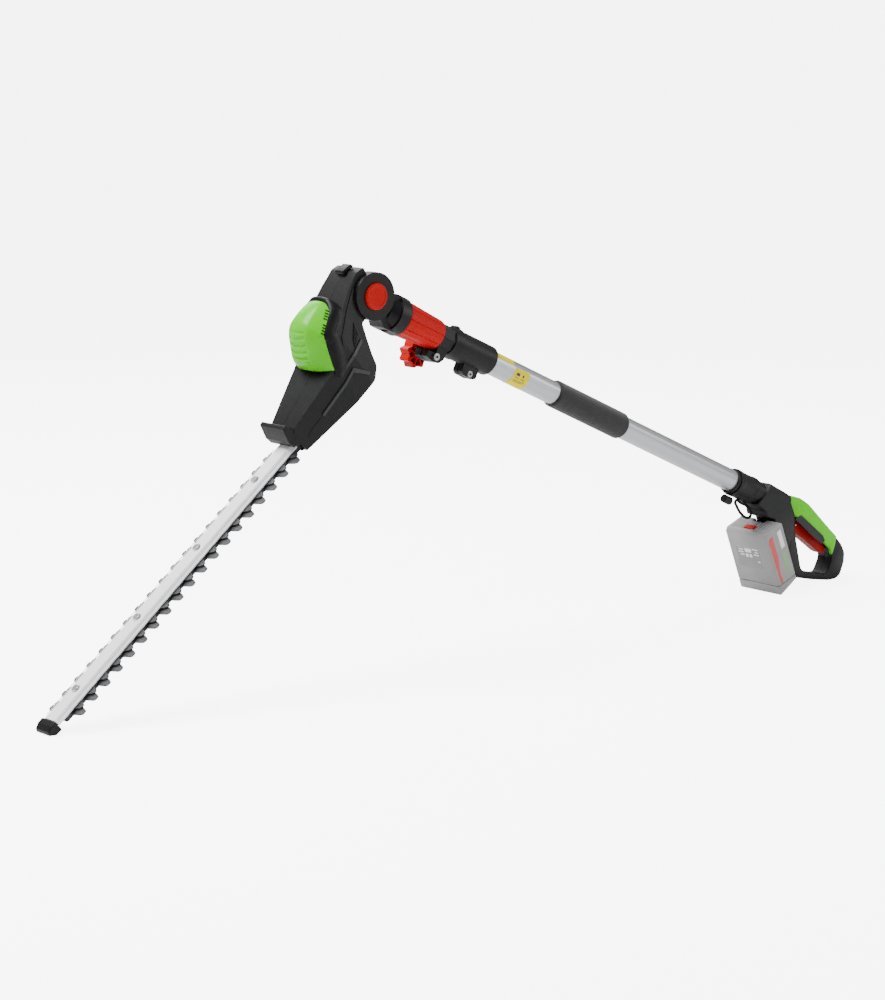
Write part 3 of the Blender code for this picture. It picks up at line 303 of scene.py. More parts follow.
def grip_finish(name, colour, place):
    """Soft rubber with a fine knurl that runs along the grip."""
    made, tree, shader, node = shader_for(name)
    knurl = node("ShaderNodeTexVoronoi", {"distance": "CHEBYCHEV"}, Vector=coords(node, 0.0012, place), Scale=1.0,
                 Randomness=0.15)
    wide = node("ShaderNodeTexNoise", Vector=coords(node, 0.01), Scale=1.0, Detail=3.0)
    body = two_tone(node, spread(node, wide.outputs[0], 0.0, 1.0), shaded(colour, 0.8), shaded(colour, 1.3))
    tree.links.new(body, shader.inputs["Base Color"])
    tree.links.new(spread(node, wide.outputs[0], 0.66, 0.8), shader.inputs["Roughness"])
    bump = node("ShaderNodeBump", Strength=0.8, Distance=0.00025, Height=knurl.outputs["Distance"])
    tree.links.new(bump.outputs[0], shader.inputs["Normal"])
    return made


# ------------------------------------------------------------ mesh helpers

def refined(name, look, edge, segments=2, angle=32):
    """A merged copy of a CAD node with rounded edges, which stands for the node."""
    node = NODES[name]
    bm = bmesh.new()
    bm.from_mesh(node.data)
    bmesh.ops.remove_doubles(bm, verts=bm.verts, dist=0.000004)
    bmesh.ops.dissolve_limit(bm, angle_limit=math.radians(0.6), verts=bm.verts, edges=bm.edges)
    mesh = bpy.data.meshes.new(name + "_finished")
    bm.to_mesh(mesh)
    bm.free()
    piece = bpy.data.objects.new(name + "_finished", mesh)
    bpy.context.scene.collection.objects.link(piece)
    mesh.materials.append(look)
    step = piece.modifiers.new("Edges", "BEVEL")
    step.width = edge
    step.segments = segments
    step.limit_method = "ANGLE"
    step.angle_limit = math.radians(angle)
    step.harden_normals = True
    mesh.shade_smooth()
    mesh.set_sharp_from_angle(angle=math.radians(angle))
    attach(piece, node["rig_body"])
    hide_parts(name)


def new_piece(name, bm, place, body, look, smooth=38, bevel=0.0, segments=2):
    """Finishes a bmesh: puts it in place, turns its faces outwards and rides it on a body."""
    bmesh.ops.remove_doubles(bm, verts=bm.verts, dist=0.000002)
    bmesh.ops.transform(bm, matrix=place, verts=bm.verts)
    bmesh.ops.recalc_face_normals(bm, faces=bm.faces)
    mesh = bpy.data.meshes.new(name)
    bm.to_mesh(mesh)
    bm.free()
    mesh.materials.append(look)
    mesh.shade_smooth()
    mesh.set_sharp_from_angle(angle=math.radians(smooth))
    piece = bpy.data.objects.new(name, mesh)
    bpy.context.scene.collection.objects.link(piece)
    if bevel:
        step = piece.modifiers.new("Edges", "BEVEL")
        step.width = bevel
        step.segments = segments
        step.limit_method = "ANGLE"
        step.angle_limit = math.radians(35)
        step.harden_normals = True
    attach(piece, body)
    return piece


def paint(look, *names):
    """Gives CAD nodes whose shape already stands a better material."""
    for name in names:
        for holder in NODES[name].material_slots:
            holder.material = look


def box(bm, low, high, turn=None, at=None):
    """One block between two corners; with turn it is then turned about at."""
    low, high = Vector(low), Vector(high)
    made = bmesh.ops.create_cube(bm, size=1.0)["verts"]
    bmesh.ops.scale(bm, vec=high - low, verts=made)
    bmesh.ops.translate(bm, vec=(low + high) / 2, verts=made)
    if turn is not None:
        bmesh.ops.transform(bm, matrix=Matrix.Translation(at) @ turn @ Matrix.Translation(-Vector(at)), verts=made)


def disc(bm, centre, radius, low, high, axis="Y", sides=24, radius2=None):
    """A round, plain or tapered, from low to high along an axis through centre."""
    made = bmesh.ops.create_cone(bm, cap_ends=True, segments=sides, radius1=radius,
                                 radius2=radius if radius2 is None else radius2, depth=high - low)["verts"]
    shift = Matrix.Translation(Vector(centre)) @ AXIS_TURN[axis] @ Matrix.Translation((0, 0, (low + high) / 2))
    bmesh.ops.transform(bm, matrix=shift, verts=made)


def ring(bm, centre, profile, axis="Y", steps=48):
    """A turned ring: profile holds (radius, height) round its closed section."""
    verts = [bm.verts.new((radius, 0.0, height)) for radius, height in profile]
    edges = [bm.edges.new((verts[i], verts[(i + 1) % len(verts)])) for i in range(len(verts))]
    bmesh.ops.spin(bm, geom=verts + edges, cent=(0, 0, 0), axis=(0, 0, 1), angle=2 * math.pi, steps=steps,
                   use_merge=True, use_duplicate=False)
    points = {vert for edge in bm.edges for vert in edge.verts if vert.is_valid and not vert.tag}
    bmesh.ops.transform(bm, matrix=Matrix.Translation(Vector(centre)) @ AXIS_TURN[axis], verts=list(points))
    for vert in points:
        vert.tag = True


def arc_corners(points, radius, steps=3):
    """The outline with every corner rounded."""
    out = []
    for i, point in enumerate(points):
        here = Vector(point)
        before, after = Vector(points[i - 1]) - here, Vector(points[(i + 1) % len(points)]) - here
        reach = min(radius, before.length * 0.45, after.length * 0.45)
        first, last = here + before.normalized() * reach, here + after.normalized() * reach
        for k in range(steps + 1):
            t = k / steps
            out.append(first * (1 - t) ** 2 + here * 2 * t * (1 - t) + last * t * t)
    return out


def walls_of(*names):
    """Search trees of CAD nodes, for laying a skin on their walls."""
    trees = []
    for name in names:
        mesh = NODES[name].data
        mesh.calc_loop_triangles()
        trees.append(BVHTree.FromPolygons([v.co.copy() for v in mesh.vertices],
                                          [tuple(t.vertices) for t in mesh.loop_triangles]))
    return trees


def wall_at(trees, place, x, z, side):
    """How far out the wall is at a local x and z, on one side; None where there is no wall."""
    start = place @ Vector((x, side * 0.12, z))
    ray = (place.to_3x3() @ Vector((0.0, -side, 0.0))).normalized()
    hits = [hit[3] for hit in (tree.ray_cast(start, ray, 0.119) for tree in trees) if hit[0] is not None]
    return 0.12 - min(hits) if hits else None


def skin(bm, outline, trees, place, side, proud, sunk=0.0006, every=0.006):
    """A flat outline laid on a wall: it follows the wall and stands proud of it."""
    face = bm.faces.new([bm.verts.new((x, 0.0, z)) for x, z in outline])
    low, high = min(p[0] for p in outline), max(p[0] for p in outline)
    geometry = list(face.verts) + list(face.edges) + [face]
    cuts = int((high - low) / every)
    for i in range(1, cuts):
        made = bmesh.ops.bisect_plane(bm, geom=geometry, dist=1e-7,
                                      plane_co=(low + (high - low) * i / cuts, 0, 0), plane_no=(1, 0, 0))
        geometry = made["geom"]
    faces = [g for g in geometry if isinstance(g, bmesh.types.BMFace)]
    inner = {v for f in faces for v in f.verts}
    depth = {}
    for vert in inner:
        wall = wall_at(trees, place, vert.co.x, vert.co.z, side)
        depth[vert] = wall
    known = [d for d in depth.values() if d is not None]
    fallback = sum(known) / len(known) if known else 0.02
    for vert in inner:
        vert.co.y = side * ((depth[vert] if depth[vert] is not None else fallback) - sunk)
    grown = bmesh.ops.extrude_face_region(bm, geom=faces)
    bmesh.ops.translate(bm, vec=(0.0, side * (proud + sunk), 0.0),
                        verts=[g for g in grown["geom"] if isinstance(g, bmesh.types.BMVert)])


def head(points):
    """Outline points (along, height) in millimetres, turned into the head frame's x and z."""
    return [Vector((-a * MM, n * MM)) for a, n in points]


def swept(name, points, radius, place, body, look):
    """A rounded bar along a smooth closed path, made a mesh."""
    curve = bpy.data.curves.new(name, "CURVE")
    curve.dimensions = "3D"
    curve.bevel_depth = radius
    curve.bevel_resolution = 4
    line = curve.splines.new("BEZIER")
    line.bezier_points.add(len(points) - 1)
    for point, at in zip(line.bezier_points, points):
        point.co = at
        point.handle_left_type = point.handle_right_type = "AUTO"
    line.use_cyclic_u = True
    curve.resolution_u = 8
    holder = bpy.data.objects.new(name + "_path", curve)
    bpy.context.scene.collection.objects.link(holder)
    mesh = bpy.data.meshes.new_from_object(holder.evaluated_get(bpy.context.evaluated_depsgraph_get()))
    bpy.data.objects.remove(holder, do_unlink=True)
    bpy.data.curves.remove(curve)
    bm = bmesh.new()
    bm.from_mesh(mesh)
    bpy.data.meshes.remove(mesh)
    return new_piece(name, bm, place, body, look)


def between(points, i, t):
    """A point on the smooth path through the points, at share t of the span after point i."""
    p0, p1, p2, p3 = points[max(i - 1, 0)], points[i], points[i + 1], points[min(i + 2, len(points) - 1)]
    return 0.5 * ((2 * p1) + (p2 - p0) * t + (2 * p0 - 5 * p1 + 4 * p2 - p3) * t * t
                  + (3 * p1 - p0 - 3 * p2 + p3) * t * t * t)


def smooth_path(points, steps):
    """Points along a smooth open path that passes through those given."""
    return [between(points, i, k / steps) for i in range(len(points) - 1) for k in range(steps)] + [points[-1]]


def rim_band(bm, inner, outer, bulge, depth):
    """A rounded band between two edges, given on one side of the middle plane and mirrored."""
    edges = []
    for path in (inner, outer):
        half = smooth_path(path, 6)
        edges.append([Vector((p.x, -p.y, p.z)) for p in half[:0:-1]] + half)
    loops = []
    count = len(edges[0])
    for i in range(count):
        first, last = edges[0][i], edges[1][i]
        onward = edges[0][min(i + 1, count - 1)] - edges[0][max(i - 1, 0)]
        out = onward.cross(last - first).normalized()
        if out.dot(first - Vector((-0.075, 0.0, 0.0))) < 0:
            out.negate()
        ring_points = [first.lerp(last, k / 9) + out * bulge * math.sin(math.pi * k / 9) ** 0.6 for k in range(10)]
        ring_points += [first.lerp(last, t) - out * depth for t in (0.95, 0.5, 0.05)]
        loops.append([bm.verts.new(p) for p in ring_points])
    size = len(loops[0])
    wires = [[bm.edges.new((loop[k], loop[(k + 1) % size])) for k in range(size)] for loop in loops]
    for before, after in zip(wires, wires[1:]):
        bmesh.ops.bridge_loops(bm, edges=before + after)
    bm.faces.new(loops[0])
    bm.faces.new(loops[-1])


# ------------------------------------------------------------ pieces

class TRIMMER_OT_head_shells(bpy.types.Operator):
    """Rounds the head shells, the neck and their guards and lays the raised trim on them"""
    bl_idname = "trimmer.head_shells"
    bl_label = "Head shells"

    def execute(self, context):
        shell = context.scene.trimmer_shell
        black = moulded("shell_black", tuple(shell.black), 0.48, shell.grain, 0.00009, scuff=0.16, place=HEAD)
        trim = moulded("trim_black", tuple(shell.black_trim), 0.42, shell.grain, 0.00005, scuff=0.10, place=HEAD)
        # The side bars and ribs are real raised parts, but their lighter grey is a painted highlight for the light
        # caught on their edges.
        rib_highlight_grey = moulded("rib_grey_painted_highlight", (0.034, 0.034, 0.037), 0.36, shell.grain, 0.00003, scuff=0.12, place=HEAD)
        for name in ("head_shell_left", "head_shell_right"):
            refined(name, black, shell.edge, 3)
        refined("neck", trim, 0.0012, 3)
        refined("hand_guard", black, 0.0009, 2)
        refined("top_lug", trim, 0.0006, 2)
        refined("tip_guard", trim, 0.0006, 2)
        for name in ("side_bar_left", "side_bar_right", "side_rib_left", "side_rib_right"):
            refined(name, rib_highlight_grey, 0.0005, 2)
        trees = walls_of("head_shell_left", "head_shell_right")
        step_outline = head([(15, 27), (41, 14), (57, 6), (68, -2), (84, -27), (101, -31.5), (99, -28.6),
                             (86.5, -25), (72, 2), (57, 9.5), (43, 17), (17, 29.5)])
        for side, label in ((1, "left"), (-1, "right")):
            bm = bmesh.new()
            skin(bm, arc_corners(step_outline, 0.002), trees, HEAD, side, 0.0009)
            new_piece("side_step_" + label, bm, HEAD, "head", black, bevel=0.0006, segments=3)
            bm = bmesh.new()
            for i in range(5):
                a = 44.0 + 3.3 * i
                top, bottom = -1.5 - 2.6 * i, -16.0 - 1.4 * i
                fin = head([(a, top), (a + 1.5, top - 0.9), (a + 6.2, bottom - 0.5), (a + 4.7, bottom)])
                skin(bm, fin, trees, HEAD, side, 0.0011)
            new_piece("vent_fins_" + label, bm, HEAD, "head", trim)
            bm = bmesh.new()
            panel = head([(92, -40.5), (148, -52.5), (176, -58), (176, -66), (100, -66), (84, -56)])
            skin(bm, arc_corners(panel, 0.004), trees, HEAD, side, 0.0005)
            new_piece("lower_panel_" + label, bm, HEAD, "head", black, bevel=0.0003)
        inner = [(49.5, 38.2, 0), (51, 37.6, 12), (54.5, 34.8, 18), (60, 31.4, 23.5), (71, 27.2, 27.6), (87, 21, 31.6),
                 (92, 12, 33), (96, 3, 34.5), (100, -8, 35.6), (104, -18.5, 37.2), (107.5, -24, 37.0)]
        outer = [(44.2, 36.0, 0), (43.8, 34.4, 13), (43.6, 29.5, 20.8), (46, 20.8, 28), (56, 11, 31), (71, 5.5, 34.4),
                 (75, -5, 35.4), (78.5, -14, 36), (84, -24.5, 36.5), (91, -31, 36.8), (101, -34, 36.4)]
        rim = bmesh.new()
        rim_band(rim, [Vector((-a, -y, n)) * MM for a, n, y in inner], [Vector((-a, -y, n)) * MM for a, n, y in outer],
                 0.0030, 0.0040)
        new_piece("cover_rim", rim, HEAD, "head", trim, smooth=60)
        bm = bmesh.new()
        lip = BOSS_HALF
        ring(bm, (0, 0, 0), [(0.0283, -lip - 0.0009), (0.0268, -lip - 0.0013), (0.0252, -lip - 0.0005),
                             (0.0252, -lip + 0.0008), (0.0288, -lip + 0.0008)])
        ring(bm, (0, 0, 0), [(0.0206, -lip - 0.0007), (0.0196, -lip - 0.0011), (0.0178, -lip - 0.0004),
                             (0.0175, -lip + 0.0015), (0.0208, -lip + 0.0008)])
        new_piece("boss_rings", bm, HEAD, "head", trim)
        bm = bmesh.new()
        far = min(local_box("head_shell_left", HEAD)[1].y, 0.0300)
        ring(bm, (0, 0, 0), [(0.0262, far + 0.0011), (0.0250, far + 0.0019), (0.0228, far + 0.0016),
                             (0.0215, far + 0.0002), (0.0215, far - 0.0008), (0.0270, far - 0.0008)])
        disc(bm, (0, 0, 0), 0.0150, far - 0.0006, far + 0.0012, sides=40, radius2=0.0138)
        new_piece("pivot_cap", bm, HEAD, "head", trim, bevel=0.0004)
        steel = brushed("screw_zinc", (0.42, 0.42, 0.43), 0.36, 0.0002)
        wells, heads = bmesh.new(), bmesh.new()
        for a, n in ((20, 22), (37, -4), (66, -37), (102, -60), (126, -38), (156, -64), (184, -62)):
            wall = wall_at(trees, HEAD, -a * MM, n * MM, 1)
            if wall is None:
                continue
            ring(wells, (-a * MM, wall, n * MM), [(0.0041, 0.0008), (0.0031, 0.0008), (0.0028, -0.0006),
                                                  (0.0045, -0.0006)], steps=24)
            disc(heads, (-a * MM, wall, n * MM), 0.0027, -0.0005, 0.0004, sides=20, radius2=0.0023)
        new_piece("screw_wells", wells, HEAD, "head", trim)
        new_piece("screw_heads", heads, HEAD, "head", steel, bevel=0.0002)
        return {"FINISHED"}


class TRIMMER_OT_motor_cover(bpy.types.Operator):
    """Builds the green motor cover as one domed shell with grip ridges, a crease and air slots drawn as dark boxes of
    painted shade
    """
    bl_idname = "trimmer.motor_cover"
    bl_label = "Motor cover"

    def execute(self, context):
        cover = context.scene.trimmer_cover
        green = moulded("cover_green", tuple(cover.green), 0.34, 0.0010, 0.00003, tone=0.05, coat=0.12, place=HEAD,
                         shine=0.12)
        crest = head([(47.8, 26.5), (49, 35), (55, 40.8), (67, 42.6), (82, 41.8), (93, 38.6), (102, 31), (110, 17),
                      (116.6, 4), (117.6, -6), (115.2, -14.6)])
        base = head([(48.5, 25.0), (52, 29), (58, 30.8), (67, 28.4), (76.5, 25), (87, 21), (91.5, 13), (95, 6),
                     (98.5, -2), (102.3, -10.5), (105.4, -18.9)])

        def along(path, u):
            """A smooth point on a path of equal spans."""
            spans = u * (len(path) - 1)
            i = min(int(spans), len(path) - 2)
            return between(path, i, spans - i)

        long_steps, cross_steps = 132, 84
        crease, shoulder = 0.50, 0.52
        ridge_start, ridge_span, ridge_reach, ridge_depth = 0.56, 0.27, 0.43, 0.0017
        bm = bmesh.new()
        bmesh.ops.create_grid(bm, x_segments=long_steps, y_segments=cross_steps, size=1.0)
        for vert in bm.verts:
            u = (vert.co.x + 1.0) / 2
            v = vert.co.y
            top, foot = along(crest, u), along(base, u)
            reach = -foot.x / MM
            width = (22.6 + 0.27 * max(0.0, min(54.0, reach - 52.0))) * MM
            width *= 1.0 - 0.16 * max(0.0, (0.10 - u) / 0.10) ** 2
            share = abs(v)
            if share < crease:
                t = share / crease
                y = width * shoulder * t
                h = 1.0 - 0.20 * t ** 2.4
            else:
                t = (share - crease) / (1 - crease)
                y = width * (shoulder + (1 - shoulder) * t)
                h = 0.80 * (1 - t) + 0.05 * math.sin(math.pi * t)
            point = foot + (top - foot) * h
            out = (top - foot).normalized()
            if ridge_start < u < ridge_start + ridge_span and cover.ridges:
                phase = (u - ridge_start) / ridge_span * cover.ridges + 0.22 * (share / ridge_reach) ** 2
                edge = max(0.0, min(1.0, (ridge_reach - share) / 0.05))
                point = point - out * (ridge_depth * edge * max(0.0, math.sin(2 * math.pi * phase)) ** 0.8)
            vert.co = (point.x, math.copysign(y, v), point.y)
        bmesh.ops.recalc_face_normals(bm, faces=bm.faces)
        inside = Vector((-0.08, 0, 0.0))
        middle = min(bm.faces, key=lambda f: f.calc_center_median().length)
        if (middle.calc_center_median() - inside).dot(middle.normal) < 0:
            bmesh.ops.reverse_faces(bm, faces=bm.faces)
        bmesh.ops.solidify(bm, geom=bm.faces[:], thickness=cover.wall)
        shell = new_piece("motor_cover_shell", bm, HEAD, "head", green, smooth=50)
        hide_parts("motor_cover")
        # Painted shade: each air slot is a near-black box set into the cover's surface, standing for the shade inside
        # the opening.
        black = moulded("slot_painted_shade", (0.006, 0.006, 0.006), 0.7, 0.0007, 0.00003)
        tree = [BVHTree.FromObject(shell, context.evaluated_depsgraph_get())]
        for side, label in ((1, "left"), (-1, "right")):
            bm = bmesh.new()
            for group in (0, 1):
                for i in range(cover.slots):
                    a = (60.0, 77.0)[group] + 3.4 * i
                    n = (33.0, 26.2)[group] - (1.05, 1.2)[group] * i
                    wall = wall_at(tree, HEAD, -a * MM, n * MM, side)
                    if wall is None:
                        continue
                    tip = wall_at(tree, HEAD, -(a + 0.8) * MM, (n - 2.0) * MM, side) or wall
                    lean = math.atan2((tip - wall) * side, 0.0022)
                    at = Vector((-a * MM, side * wall, n * MM))
                    turn = Matrix.Rotation(math.radians(-22), 4, "Y") @ Matrix.Rotation(lean, 4, "X")
                    box(bm, at - Vector((0.0006, 0.0009, 0.0022)), at + Vector((0.0006, 0.0009, 0.0022)), turn, at)
            new_piece("air_slot_shades_" + label, bm, HEAD, "head", black)
        return {"FINISHED"}


class TRIMMER_OT_controls(bpy.types.Operator):
    """Finishes the red controls: lock button, twist sleeve, star knob, trigger and small buttons"""
    bl_idname = "trimmer.controls"
    bl_label = "Controls"

    def execute(self, context):
        control = context.scene.trimmer_control
        red = moulded("control_red", tuple(control.red), 0.42, 0.0009, 0.00003, tone=0.06, place=POLE, shine=0.10)
        deep = moulded("trigger_red", shaded(tuple(control.red), 0.62), 0.42, 0.0009, 0.00003, tone=0.08, shine=0.12)
        refined("angle_lock_button", red, control.edge, 3)
        refined("twist_sleeve", red, 0.0005, 2, 20)
        refined("star_knob", red, control.edge, 2)
        refined("trigger", deep, control.edge, 2)
        refined("lock_off_button", red, 0.0003, 2)
        paint(red, "battery_release_button")
        press = axes_at(HINGE, up=-Vector(JOINTS["lock_off_press"]["axis"]))
        low, high = local_box("lock_off_button", press)
        bm = bmesh.new()
        box(bm, (low.x + 0.0016, low.y + 0.0012, high.z - 0.0006), (high.x - 0.0016, high.y - 0.0012, high.z + 0.0016))
        for i in range(3):
            x = low.x + 0.0040 + 0.0025 * i
            box(bm, (x - 0.0005, low.y + 0.0016, high.z + 0.0010), (x + 0.0005, high.y - 0.0016, high.z + 0.0022))
        new_piece("lock_off_cap", bm, press, "lock_off", red, bevel=0.0004, segments=3)
        low, high = local_box("star_knob", POLE)
        middle = Vector(((low.x + high.x) / 2, 0.0, (low.z + high.z) / 2))
        bm = bmesh.new()
        ring(bm, middle, [(0.0118, high.y + 0.0008), (0.0106, high.y + 0.0012), (0.0098, high.y - 0.0004),
                          (0.0124, high.y - 0.0004)])
        disc(bm, middle, 0.0072, high.y - 0.0004, high.y + 0.0011, sides=32, radius2=0.0062)
        new_piece("knob_cap", bm, POLE, "knob", red, bevel=0.0002)
        return {"FINISHED"}


class TRIMMER_OT_pole(bpy.types.Operator):
    """Finishes the tubes, foam, clamp and collar, and wraps the blank labels round the tube"""
    bl_idname = "trimmer.pole"
    bl_label = "Pole"

    def execute(self, context):
        pole, shell = context.scene.trimmer_pole, context.scene.trimmer_shell
        metal = brushed("tube_anodised", tuple(pole.metal), 0.36, pole.brushing, POLE, 0.82, tone=0.05)
        trim = moulded("clamp_black", tuple(shell.black_trim), 0.44, shell.grain, 0.00006, scuff=0.12, place=POLE)
        paint(metal, "outer_tube", "inner_tube")
        paint(foam_finish("foam_black", (0.0075, 0.0075, 0.0080)), "foam_grip")
        refined("tube_clamp", trim, 0.0009, 2)
        refined("tube_socket", trim, 0.0009, 2)
        refined("strap_collar", trim, 0.0005, 2)
        low, high = local_box("carry_ring", POLE)
        span, drop = high.x - low.x, high.z - low.z
        loop = [Vector((low.x + span * u, 0.0, high.z - drop * w)) for u, w in (
            (0.13, 0.13), (0.38, 0.10), (0.65, 0.10), (0.84, 0.25), (0.945, 0.52), (0.93, 0.76), (0.79, 0.895),
            (0.52, 0.79), (0.27, 0.48))]
        eye = swept("carry_ring_loop", loop, 0.0020, POLE, NODES["carry_ring"]["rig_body"], trim)
        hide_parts("carry_ring")
        refined("collar_thumb_screw", trim, 0.0005, 2)
        zinc = brushed("bolt_zinc", (0.40, 0.40, 0.41), 0.30, 0.0002)
        for name in ("clamp_bolt", "socket_screw"):
            refined(name, zinc, 0.0004, 2)
        # Painted shade: each bolt's hex socket is a near-black hexagon at the head's face, standing for the shade
        # inside the hole.
        black = moulded("hex_recess_painted_shade", (0.006, 0.006, 0.006), 0.7)
        for name in ("clamp_bolt", "socket_screw"):
            low, high = local_box(name, POLE)
            middle = Vector(((low.x + high.x) / 2, 0.0, (low.z + high.z) / 2))
            bm = bmesh.new()
            ring(bm, middle, [(0.0031, low.y - 0.0002), (0.0028, low.y - 0.0004), (0.0018, low.y - 0.0003),
                              (0.0018, low.y + 0.0004), (0.0032, low.y + 0.0004)], steps=28)
            new_piece(name + "_socket", bm, POLE, "pole", zinc)
            bm = bmesh.new()
            disc(bm, middle, 0.0017, low.y - 0.00025, low.y + 0.0003, sides=6)
            new_piece(name + "_recess_shade", bm, POLE, "pole", black)
        yellow = moulded("label_yellow", tuple(pole.label), 0.50, 0.0011, 0.00001, tone=0.04, shine=0.06)
        ink = moulded("label_ink", (0.05, 0.05, 0.05), 0.5)

        def patch(name, start, end, first, last, look, lift):
            """A thin wrap on the tube from one angle to another; 0 is up and 90 is the lock button's side."""
            bm = bmesh.new()
            inner, outer = TUBE_R - 0.0002, TUBE_R + lift
            verts = [bm.verts.new((s, 0.0, r)) for s, r in ((start, inner), (end, inner), (end, outer),
                                                            (start, outer))]
            face = bm.faces.new(verts)
            bmesh.ops.rotate(bm, cent=(0, 0, 0), matrix=Matrix.Rotation(math.radians(first), 3, "X"), verts=verts)
            bmesh.ops.spin(bm, geom=[face], cent=(0, 0, 0), axis=(1, 0, 0), angle=math.radians(last - first),
                           steps=max(6, int(abs(last - first) / 6)), use_duplicate=False)
            bmesh.ops.translate(bm, vec=TUBE_AXIS, verts=bm.verts)
            new_piece(name, bm, POLE, "pole", look)

        shade = moulded("slot_shade", (0.004, 0.004, 0.004), 0.8, shine=0.05)
        patch("tube_slot_shade", 0.6315, 0.6885, -14, 14, shade, -0.0009)
        start = local_box("tube_socket", POLE)[1].x
        patch("label_strip", start + 0.0008, start + 0.0345, 22, 62, yellow, 0.00025)
        patch("label_wrap", start + 0.0370, start + 0.0640, 66, 190, yellow, 0.00025)
        for i, (first, last, angle, wide) in enumerate(((0.0410, 0.0470, 88, 14), (0.0520, 0.0545, 88, 14),
                                                        (0.0405, 0.0475, 110, 3), (0.0510, 0.0580, 110, 3),
                                                        (0.0405, 0.0595, 124, 3), (0.0405, 0.0560, 132, 3))):
            patch("label_mark_" + str(i), start + first, start + last, angle, angle + wide, ink, 0.00035)
        return {"FINISHED"}


class TRIMMER_OT_blades(bpy.types.Operator):
    """Finishes the rail with painted-shade groove lines, both blades, their bolts and the gear train"""
    bl_idname = "trimmer.blades"
    bl_label = "Blades"

    def execute(self, context):
        blade = context.scene.trimmer_blade
        steel = blade_finish("blade_coated", blade)
        refined("upper_blade", steel, 0.00035, 1, 50)
        refined("lower_blade", steel, 0.00045, 1, 50)
        rail = brushed("rail_brushed", tuple(blade.rail), 0.50, 0.0003, HEAD, 0.05, tone=0.02)
        refined("blade_rail", rail, 0.0004, 2)
        zinc = brushed("blade_bolt_zinc", (0.62, 0.62, 0.63), 0.30, 0.0002)
        for i in range(1, 5):
            refined("blade_bolt_" + str(i), zinc, 0.0003, 2)
        # Painted shade: two darker strips, slightly proud of the rail's top, stand for the shade in its grooves.
        low, high = local_box("blade_rail", HEAD)
        bm = bmesh.new()
        for side in (-1, 1):
            box(bm, (low.x + 0.004, side * 0.0113 - 0.0004, high.z - 0.0003),
                (high.x - 0.060, side * 0.0113 + 0.0004, high.z + 0.00025))
        dark = brushed("groove_painted_shade", (0.62, 0.62, 0.63), 0.5, 0.0003, HEAD, 0.5)
        new_piece("rail_groove_shades", bm, HEAD, "head", dark)
        gear = brushed("gear_machined", (0.34, 0.34, 0.35), 0.36, 0.0002, HEAD)
        paint(gear, "drive_gear", "motor_pinion", "gear_shaft", "gear_bearing", "pinion_bearing", "gearbox_plate")
        paint(brushed("motor_can_steel", (0.40, 0.40, 0.42), 0.34, 0.0003, HEAD), "motor")
        paint(zinc, "hinge_pin", "detent_ring", "trigger_pin")
        return {"FINISHED"}


class TRIMMER_OT_handle(bpy.types.Operator):
    """Finishes the rear handle: its shells, green covers, grip inlays and screws"""
    bl_idname = "trimmer.handle"
    bl_label = "Rear handle"

    def execute(self, context):
        shell, cover = context.scene.trimmer_shell, context.scene.trimmer_cover
        black = moulded("handle_black", tuple(shell.black), 0.44, shell.grain, 0.00008, scuff=0.14, place=POLE)
        green = moulded("handle_green", tuple(cover.green), 0.36, 0.0010, 0.00003, tone=0.05, coat=0.08, place=POLE,
                         shine=0.12)
        for name in ("rear_housing_left", "rear_housing_right"):
            refined(name, black, 0.0010, 2, 30)
        for name in ("handle_cover_left", "handle_cover_right"):
            refined(name, green, 0.0008, 2, 30)
        for name in ("grip_inlay_left", "grip_inlay_right"):
            refined(name, grip_finish(name + "_rubber", (0.0070, 0.0070, 0.0074), POLE), 0.0004, 2)
        paint(black, "battery_rail", "trigger_switch")
        trees = walls_of("rear_housing_left", "handle_cover_left")
        foot = local_box("rear_housing_left", HANDLE)[0].z
        steel = brushed("handle_screw_zinc", (0.42, 0.42, 0.43), 0.36, 0.0002)
        wells, heads = bmesh.new(), bmesh.new()
        for x, z in ((0.716, -0.325), (0.736, -0.372), (0.757, -0.424), (0.800, -0.4605), (0.858, -0.440)):
            z = max(z, foot + 0.0060)
            wall = wall_at(trees, HANDLE, x, z, 1)
            if wall is None:
                continue
            ring(wells, (x, wall, z), [(0.0038, 0.0007), (0.0029, 0.0007), (0.0026, -0.0006), (0.0042, -0.0006)],
                 steps=24)
            disc(heads, (x, wall, z), 0.0025, -0.0005, 0.0004, sides=20, radius2=0.0021)
        new_piece("handle_screw_wells", wells, HANDLE, "pole", black)
        new_piece("handle_screw_heads", heads, HANDLE, "pole", steel, bevel=0.0002)
        return {"FINISHED"}


